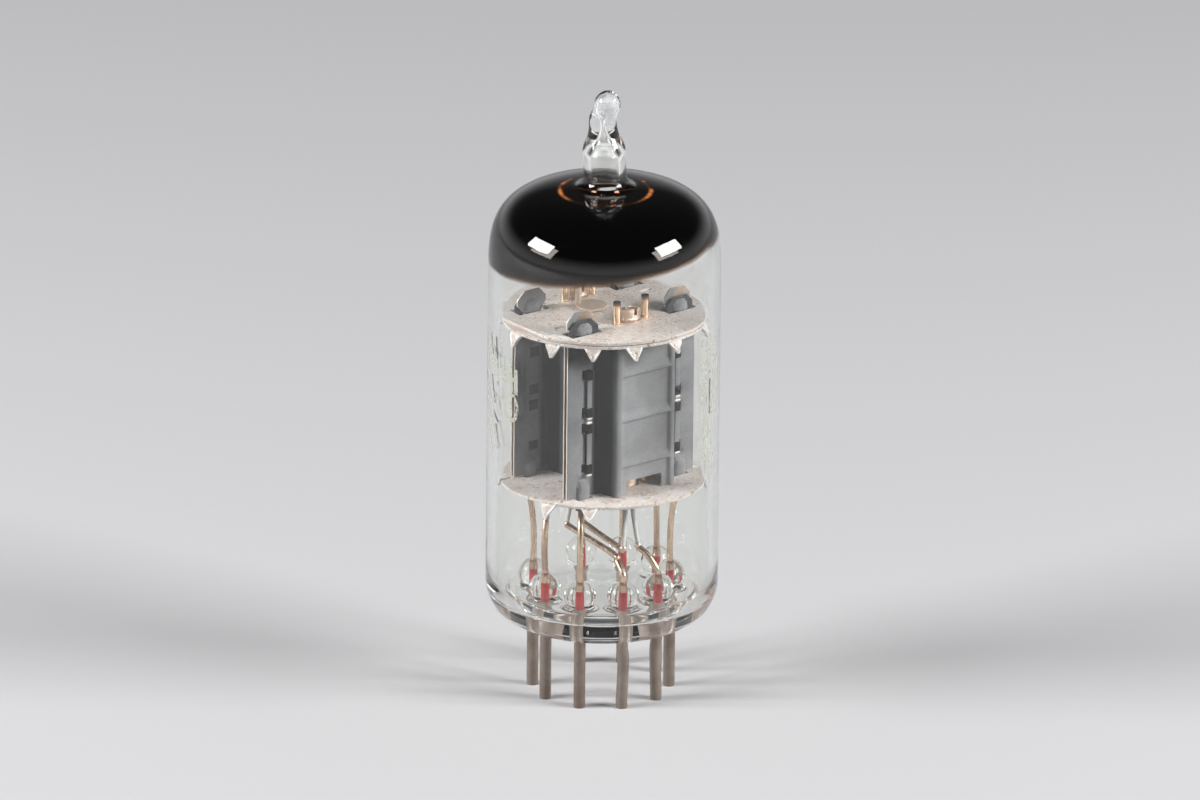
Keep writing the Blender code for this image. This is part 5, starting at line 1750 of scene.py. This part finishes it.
def sleeve_mesh(name):
    """An oval tube with a bead above the mica and two slits at its mouth."""
    heights = [SLEEVE_BOTTOM + (PLAIN_MICA_TOP - SLEEVE_BOTTOM) * i / 12 for i in range(13)]
    heights += [PLAIN_MICA_TOP + i * 0.05 * MM for i in range(1, 9)]
    heights += [SLEEVE_TOP - SLEEVE_SLIT, SLEEVE_TOP - SLEEVE_SLIT / 2, SLEEVE_TOP]
    bm = bmesh.new()
    lines = []
    for height in heights:
        off = (height - PLAIN_MICA_TOP - BEAD_HEIGHT) / BEAD_SPREAD
        bead = SLEEVE_BEAD * math.exp(-off ** 2)
        line = []
        for i in range(SLEEVE_SIDES):
            angle = math.tau * i / SLEEVE_SIDES
            line.append(bm.verts.new(((SLEEVE_HALF_WIDTH + bead) * math.cos(angle),
                                      (SLEEVE_HALF_DEPTH + bead) * math.sin(angle), height)))
        lines.append(line)
    for one, two in zip(lines, lines[1:]):
        open_row = one[0].co.z > SLEEVE_TOP - SLEEVE_SLIT * 1.01
        for i in range(SLEEVE_SIDES):
            if open_row and (i * 4 // SLEEVE_SIDES) % 2 and i % (SLEEVE_SIDES // 4) < 3:
                continue
            j = (i + 1) % SLEEVE_SIDES
            bm.faces.new((one[i], one[j], two[j], two[i]))
    sleeve = link_new(name, mesh_of(name, bm, (SLEEVE_NICKEL, BARE_COPPER)))
    modify(sleeve, "SOLIDIFY", thickness=SLEEVE_WALL, offset=-1.0, material_offset_rim=1)
    soften(sleeve, EDGE_BEVEL)
    return placed(name, sleeve, system_frame(name.split("_")[0]))


BARE_COPPER = drawn_metal("bare_copper", (0.90, 0.62, 0.42), (0.75, 0.46, 0.28), 0.22)
for name in TURNS:
    add_piece(f"{name}_sleeve", sleeve_mesh(f"{name}_sleeve"),
              [f"{name}_cathode"])
print("sleeves:", len(TURNS))

# %% [markdown]
# The heater's coat is chalky white and slightly lumpy. Its legs spread below the cathode
# towards the leads they are welded to.
# %% Heaters
HEATER_DIAMETER = 0.4 * MM
HEATER_END = LOWER_MICA_BOTTOM - 5.2 * MM
HEATER_SPREAD = MICA_RADIUS * 0.09
HEATER_OUT = 0.25 * MM
HEATER_LEG = MICA_RADIUS * 0.0393   # how far each leg stands off the sleeve's middle
HEATER_TOP = SLEEVE_TOP - 1.0 * MM


def alumina():
    material, shader = new_finish("alumina", (0.86, 0.85, 0.84), 0.85)
    lumps = grain(material, 5000.0, 4.0)
    colour = ramp(material, grain(material, 900.0, 3.0), [(0.3, (0.72, 0.70, 0.69)),
                                                         (0.6, (0.88, 0.87, 0.86))])
    join(material, colour, shader.inputs["Base Color"])
    bumps(material, shader, lumps, 0.03 * MM, 0.9)
    return material


def heater_path(name):
    """A hairpin: up one leg, over its top inside the sleeve, and down the other."""
    x, top = HEATER_LEG, HEATER_TOP
    leg = [(HEATER_SPREAD, HEATER_OUT, HEATER_END),
           (HEATER_SPREAD * 0.75, HEATER_OUT * 0.5, (HEATER_END * 2 + SLEEVE_BOTTOM) / 3),
           (x, 0.0, SLEEVE_BOTTOM), (x, 0.0, (top + SLEEVE_BOTTOM) / 2),
           (x, 0.0, top - x), (x * 0.7, 0.0, top - x / 4)]
    points = leg + [(0.0, 0.0, top)] + [(-a, out, height) for a, out, height in leg[::-1]]
    return [system_point(name, *point) for point in smooth_line(points, 8)]


ALUMINA = alumina()
for name in TURNS:
    mesh = wire_mesh(f"{name}_hairpin", [heater_path(name)], HEATER_DIAMETER, ALUMINA)
    add_piece(mesh.name, mesh, [f"{name}_heater"])
print("heaters:", len(TURNS))

# %% [markdown]
# ## Leads
# Nine leads climb from the beads to the cage. Each leaves its bead upright, wanders to the
# side on its way and is welded to its piece; the ninth and the link join the two heaters.
# %% Leads
LEAD_DIAMETER = 0.55 * MM
BEAD_Z = SEAT_Z + 5.1 * MM      # where a lead leaves its bead
WELD_DROP = 0.1 * MM            # how far below a heater's end its weld lies
GRID_WELD_DROP = 0.6 * MM       # these two are measured down from the lower mica
CATHODE_WELD_DROP = 0.45 * MM


def heater_weld(name, side, drop=0.0):
    below = LEAD_DIAMETER / 2 + WELD_DROP + drop
    return system_point(name, side * HEATER_SPREAD, HEATER_OUT, HEATER_END - below)


def anode_weld(name):
    return system_point(name, -EAR_X, 0.0, LOWER_MICA_BOTTOM - TAB_LENGTH - FIT_GAP)


def grid_weld(name):
    away = (ROD_DIAMETER + LEAD_DIAMETER) / 2 + FIT_GAP
    return system_point(name, -ROD_HALF_SPACING - away, 0.0, LOWER_MICA_BOTTOM - GRID_WELD_DROP)


def cathode_weld(name):
    away = SLEEVE_HALF_DEPTH + LEAD_DIAMETER / 2 + FIT_GAP
    return system_point(name, 0.0, -away, LOWER_MICA_BOTTOM - CATHODE_WELD_DROP)


# Where each lead ends, and its knees: shares of the way across and up from bead to weld
LEAD_ROUTES = [
    (anode_weld("back"), ((0.05, 0.5),)),
    (grid_weld("back"), ((-0.08, 0.3), (-0.06, 0.5), (0.1, 0.75), (0.5, 0.93))),
    (cathode_weld("back"), ((0.02, 0.25), (0.08, 0.55), (0.2, 0.75), (0.5, 0.92))),
    (heater_weld("back", -1), ((0.0, 0.35), (0.1, 0.75), (0.2, 0.95))),
    (heater_weld("front", -1), ((0.1, 0.3), (0.55, 0.75))),
    (anode_weld("front"), ((0.05, 0.5),)),
    (grid_weld("front"), ((0.03, 0.5), (0.3, 0.85))),
    (cathode_weld("front"), ((0.05, 0.45), (0.4, 0.9))),
    (heater_weld("back", 1, LEAD_DIAMETER + FIT_GAP), ((0.1, 0.5), (0.5, 0.85))),
]


def lead_path(number):
    """From the seal up through the bead and over the knees to the weld."""
    place = PIN_PLACES[number - 1]
    end, knees = LEAD_ROUTES[number - 1]
    foot = Vector((place.x, place.y, BEAD_Z))
    points = [Vector((place.x, place.y, RED_END)), foot]
    for across, up in knees:
        points.append(Vector((foot.x + (end.x - foot.x) * across,
                              foot.y + (end.y - foot.y) * across,
                              foot.z + (end.z - foot.z) * up)))
    return smooth_line(points + [end], 7)


for number in range(1, len(LEAD_ROUTES) + 1):
    mesh = wire_mesh(f"lead_{number}", [lead_path(number)], LEAD_DIAMETER, LEAD_NICKEL)
    add_piece(mesh.name, mesh, [f"lead_wire_{number}"])
link_path = [heater_weld("front", 1), heater_weld("back", 1)]
mesh = wire_mesh("link_between_heaters", [link_path], LEAD_DIAMETER, LEAD_NICKEL)
add_piece(mesh.name, mesh, ["heater_link"])
print("leads:", len(LEAD_ROUTES), "and the link")

# %% [markdown]
# Every weld is a small blob of molten nickel. One node tree sets a slightly lumpy ball on
# each weld point, with its size drawn from a fixed seed.
# %% Weld blobs


def blob_tree():
    tree, entry, leave = new_tree("blobs", [
        ("Smallest", "Float"), ("Largest", "Float"), ("Seed", "Int"), ("Material", "Material")])
    link = tree.links.new
    chance = geo_node(tree, "FunctionNodeRandomValue", data_type="FLOAT")
    floats = [socket for socket in chance.inputs if socket.type == "VALUE"]
    link(entry.outputs["Smallest"], floats[0])
    link(entry.outputs["Largest"], floats[1])
    link(entry.outputs["Seed"], chance.inputs["Seed"])
    ball = geo_node(tree, "GeometryNodeMeshIcoSphere")
    ball.inputs["Radius"].default_value = 1.0
    ball.inputs["Subdivisions"].default_value = 3
    dotted = geo_node(tree, "GeometryNodeMeshToPoints")
    link(entry.outputs["Geometry"], dotted.inputs["Mesh"])
    each = geo_node(tree, "GeometryNodeInstanceOnPoints")
    link(dotted.outputs[0], each.inputs["Points"])
    link(ball.outputs[0], each.inputs["Instance"])
    value = [socket for socket in chance.outputs if socket.type == "VALUE" and socket.enabled][0]
    link(value, each.inputs["Scale"])
    finish_tree(tree, each.outputs[0], entry, leave)
    return tree


BLOB_TREE = blob_tree()
WELD_SIZES = (0.26 * MM, 0.33 * MM)
WELD_SEED = 4


def blobs(name, points, smallest, largest, seed, material):
    carrier = link_new(name, bpy.data.meshes.new(name))
    carrier.data.from_pydata([tuple(point) for point in points], [], [])
    return run_tree(name, carrier, BLOB_TREE, {
        "Smallest": smallest, "Largest": largest, "Seed": seed, "Material": material})


weld_points = [end + Vector((0, 0, LEAD_DIAMETER * 0.2)) for end, knees in LEAD_ROUTES]
weld_points += [point + Vector((0, 0, LEAD_DIAMETER * 0.3)) for point in link_path]
mesh = blobs("weld_blobs", weld_points, *WELD_SIZES, WELD_SEED, BARE_NICKEL)
add_piece("weld_blobs", mesh)
print("welds:", len(weld_points))

# %% [markdown]
# ## Getter ring
# The ring that held the barium is a channel of bent nickel strip, open on top. Its post
# stands on a small eight-sided tab on the plain mica.
# %% Getter ring and support
GETTER_RING_RADIUS = 2.4 * MM
GETTER_WIRE = 0.7 * MM
GETTER_HEIGHT = 4.6 * MM
GETTER_FOOT = Vector((-1.1 * MM, 0.3 * MM))
GETTER_FOOT_RADIUS = 1.45 * MM
GETTER_FOOT_ROUND = 0.05 * MM
POST_DIAMETER = 0.5 * MM
RING_POINTS = 28


def ring_mesh():
    """A ring whose section is a round bead with a groove along its top."""
    section = []
    for i in range(RING_POINTS):
        angle = math.tau * i / RING_POINTS
        across, up = math.cos(angle), math.sin(angle)
        if up > 0.6:
            up -= (1 - abs(across) / 0.8) * 0.9
        section.append((GETTER_RING_RADIUS + across * GETTER_WIRE / 2,
                        PLAIN_MICA_TOP + GETTER_HEIGHT + up * GETTER_WIRE / 2))
    return seam_closed(grid_mesh("getter_channel", turned_rows(section + section[:1], 96)))


def support_mesh():
    """An eight-sided foot with a softened edge, and the post that rises from it."""
    foot_low = PLAIN_MICA_TOP + FIT_GAP
    foot = bmesh.new()
    middle = Vector((GETTER_FOOT.x, GETTER_FOOT.y, foot_low + SHEET / 2))
    bmesh.ops.create_cone(foot, cap_ends=True, segments=8, radius1=GETTER_FOOT_RADIUS,
                          radius2=GETTER_FOOT_RADIUS, depth=SHEET,
                          matrix=Matrix.Translation(middle))
    bmesh.ops.bevel(foot, geom=foot.edges[:], offset=GETTER_FOOT_ROUND, segments=3,
                    affect="EDGES", profile=0.5)
    spot = GETTER_FOOT.normalized() * GETTER_RING_RADIUS
    post = [(spot.x, spot.y, foot_low + SHEET / 2),
            (spot.x, spot.y, PLAIN_MICA_TOP + GETTER_HEIGHT - GETTER_WIRE / 2)]
    wire = wire_mesh("post", [post], POST_DIAMETER, SLEEVE_NICKEL)
    foot.from_mesh(wire)
    bpy.data.meshes.remove(wire)
    return mesh_of("getter_post", foot, [FOOT_NICKEL])


FOOT_NICKEL = drawn_metal("foot_nickel", (0.70, 0.57, 0.47), (0.58, 0.46, 0.37), 0.55, 0.3)
ring = ring_mesh()
ring.materials.append(SLEEVE_NICKEL)
add_piece("getter_channel", ring, ["getter_ring"])
add_piece("getter_post", support_mesh(), ["getter_support"])
print("getter ring radius in mm:", round(GETTER_RING_RADIUS / MM, 2))

# %% [markdown]
# ## Inside the tip
# Where the exhaust tube was melted shut, the glass is full of tiny bubbles and looks frosty.
# A milky drop stands for the densest cloud of them, with single bubbles round it.
# %% Frosty core and bubbles
CORE_MARKS = [(0.0, 54.30), (0.35, 54.22), (0.62, 53.95), (0.70, 53.55), (0.58, 53.05),
              (0.34, 52.70), (0.16, 52.2), (0.11, 51.4), (0.08, 50.6), (0.0, 50.2)]


def frosty():
    """Cloudy glass, thin in places."""
    material, shader = new_finish("frosty_core", (0.93, 0.94, 0.97), 0.5)
    shader.inputs["Transmission Weight"].default_value = 0.35
    shader.inputs["IOR"].default_value = 1.2
    cloud = grain(material, 1500.0, 5.0)
    join(material, remap(material, cloud, 0.42, 0.62, 0.12, 0.85), shader.inputs["Alpha"])
    return material


def core_mesh():
    """The milky drop, closed at both ends and leaning with the tip."""
    profile = [(max(radius, 0.0), height) for radius, height in mark_line(CORE_MARKS, 4)]
    profile[0], profile[-1] = (0.0, profile[0][1]), (0.0, profile[-1][1])
    mesh = grid_mesh("tip_core", turned_rows(profile, 48))
    for corner in mesh.vertices:
        corner.co.x += tip_lean(corner.co.z)
    return mesh


core = core_mesh()
core.materials.append(frosty())
add_piece("tip_core", core)


def bubble_glass():
    material, shader = new_finish("bubble", (0.96, 0.97, 0.99), 0.08)
    shader.inputs["Specular IOR Level"].default_value = 0.9
    return material


def bubble_points(count):
    """Places for bubbles in the head, drawn from noise so that they never change."""
    points = []
    for i in range(count):
        chance = noise.cell_vector(Vector((i * 1.7, i * 0.9, 3.3)))
        around, up = math.tau * (chance.x % 1.0), 51.6 + 2.7 * (chance.y % 1.0)
        reach = (0.45 + 0.45 * (chance.z % 1.0)) * MM
        points.append((reach * math.cos(around) + tip_lean(up * MM), reach * math.sin(around),
                       up * MM))
    return points


BUBBLE_SIZES = (0.03 * MM, 0.085 * MM)
BUBBLE_SEED = 9
BUBBLE_COUNT = 26
bubbles = bubble_points(BUBBLE_COUNT)
mesh = blobs("tip_bubbles", bubbles, *BUBBLE_SIZES, BUBBLE_SEED, bubble_glass())
add_piece("tip_bubbles", mesh)
print("bubbles:", len(bubbles))

# %% [markdown]
# ## Worn print
# Both sides of the bulb carry the remains of a pale print. Nothing of it can be read: it is
# loose strokes and one oval, rubbed away at random. Angles run round the bulb from the side
# that faces the camera, to the left where they are positive.
# %% Print marks
PRINT_RADIUS = (GLASS_OUTSIDE + BULB_RADIUS) / 2
PRINT_HALF = 0.18 * MM          # half the width of a stroke
# Each stroke: angle in degrees and height in mm of its start and its end
STROKES = {
    "print_left": [
        (60, 32.1, 59, 29.6), (56.5, 32.2, 56, 29.9), (52.5, 31.9, 51.8, 29.3),
        (48.5, 31.5, 48, 29.2), (61, 30.6, 55, 30.9), (53, 30.3, 47.5, 30.7),
        (53, 28.4, 52, 27.3), (84, 32.9, 80, 31.2), (76, 33.0, 74, 30.2), (69, 32.4, 70, 30.4),
        (66, 31.6, 65, 30.0), (80, 31.9, 68, 31.4), (82, 29.2, 77, 26.8), (74, 29.0, 69, 26.0),
        (68, 28.8, 65, 26.6), (78, 27.6, 66, 27.9), (79, 26.0, 72, 25.2), (71, 25.6, 65, 23.4),
        (76, 25.0, 71, 22.9), (62, 34.4, 61, 33.2)],
    "print_right": [
        (-57, 34.4, -57.5, 30.6), (-61, 34.0, -61.4, 28.6), (-65, 34.6, -65.4, 30.0),
        (-70, 33.6, -70.5, 27.4), (-58, 29.9, -58.4, 26.4), (-63, 29.4, -63.4, 24.6),
        (-67, 29.2, -67.3, 23.8), (-74, 32.0, -74.4, 26.2), (-60, 25.8, -60.3, 22.4),
        (-56, 25.0, -56.2, 22.9), (-64.5, 23.6, -64.8, 20.6), (-69, 23.0, -69.3, 21.0)],
}
OVAL = (52.5, 27.85, 5.0, 1.2)  # angle, height, half its angle and half its height


def worn_print():
    """Chalky paint that has flaked off in specks."""
    material, shader = new_finish("worn_print", (0.56, 0.57, 0.48), 0.8)
    worn = remap(material, grain(material, 2400.0, 4.0, roughness=0.7), 0.36, 0.46)
    rubbed = remap(material, grain(material, 260.0, 2.0), 0.26, 0.38)
    join(material, math_of(material, worn, rubbed, "MULTIPLY"), shader.inputs["Alpha"])
    return material


def stroke_line(start_angle, start_z, end_angle, end_z):
    """Points of a straight stroke on the unrolled bulb: way round and height."""
    start = Vector((math.radians(start_angle) * PRINT_RADIUS, start_z * MM))
    end = Vector((math.radians(end_angle) * PRINT_RADIUS, end_z * MM))
    return [start.lerp(end, i / 8) for i in range(9)]


def oval_line(angle, height, half_angle, half_height):
    middle = Vector((math.radians(angle) * PRINT_RADIUS, height * MM))
    half = Vector((math.radians(half_angle) * PRINT_RADIUS, half_height * MM))
    turns = [math.tau * i / 28 for i in range(29)]
    return [middle + Vector((half.x * math.cos(t), half.y * math.sin(t))) for t in turns]


def on_bulb(point):
    """Where a point of the unrolled bulb lies on the glass."""
    angle = -math.pi / 2 - point.x / PRINT_RADIUS
    return (PRINT_RADIUS * math.cos(angle), PRINT_RADIUS * math.sin(angle), point.y)


def print_mesh(name, lines):
    """Each line of points as a ribbon that lies on the bulb."""
    bm = bmesh.new()
    for line in lines:
        rungs = []
        for i, point in enumerate(line):
            way = line[min(i + 1, len(line) - 1)] - line[max(i - 1, 0)]
            aside = way.orthogonal().normalized() * PRINT_HALF
            rungs.append([bm.verts.new(on_bulb(point + shift)) for shift in (aside, -aside)])
        for one, two in zip(rungs, rungs[1:]):
            face = bm.faces.new((one[0], one[1], two[1], two[0]))
            face.normal_update()
            if face.normal.dot(Vector((*face.calc_center_median().xy, 0.0))) < 0:
                face.normal_flip()
    return mesh_of(name, bm)


WORN_PRINT = worn_print()
for name, strokes in STROKES.items():
    lines = [stroke_line(*stroke) for stroke in strokes]
    if name == "print_left":
        lines.append(oval_line(*OVAL))
    mesh = print_mesh(name, lines)
    mesh.materials.append(WORN_PRINT)
    add_piece(name, mesh)
    print(name, len(lines), "strokes")
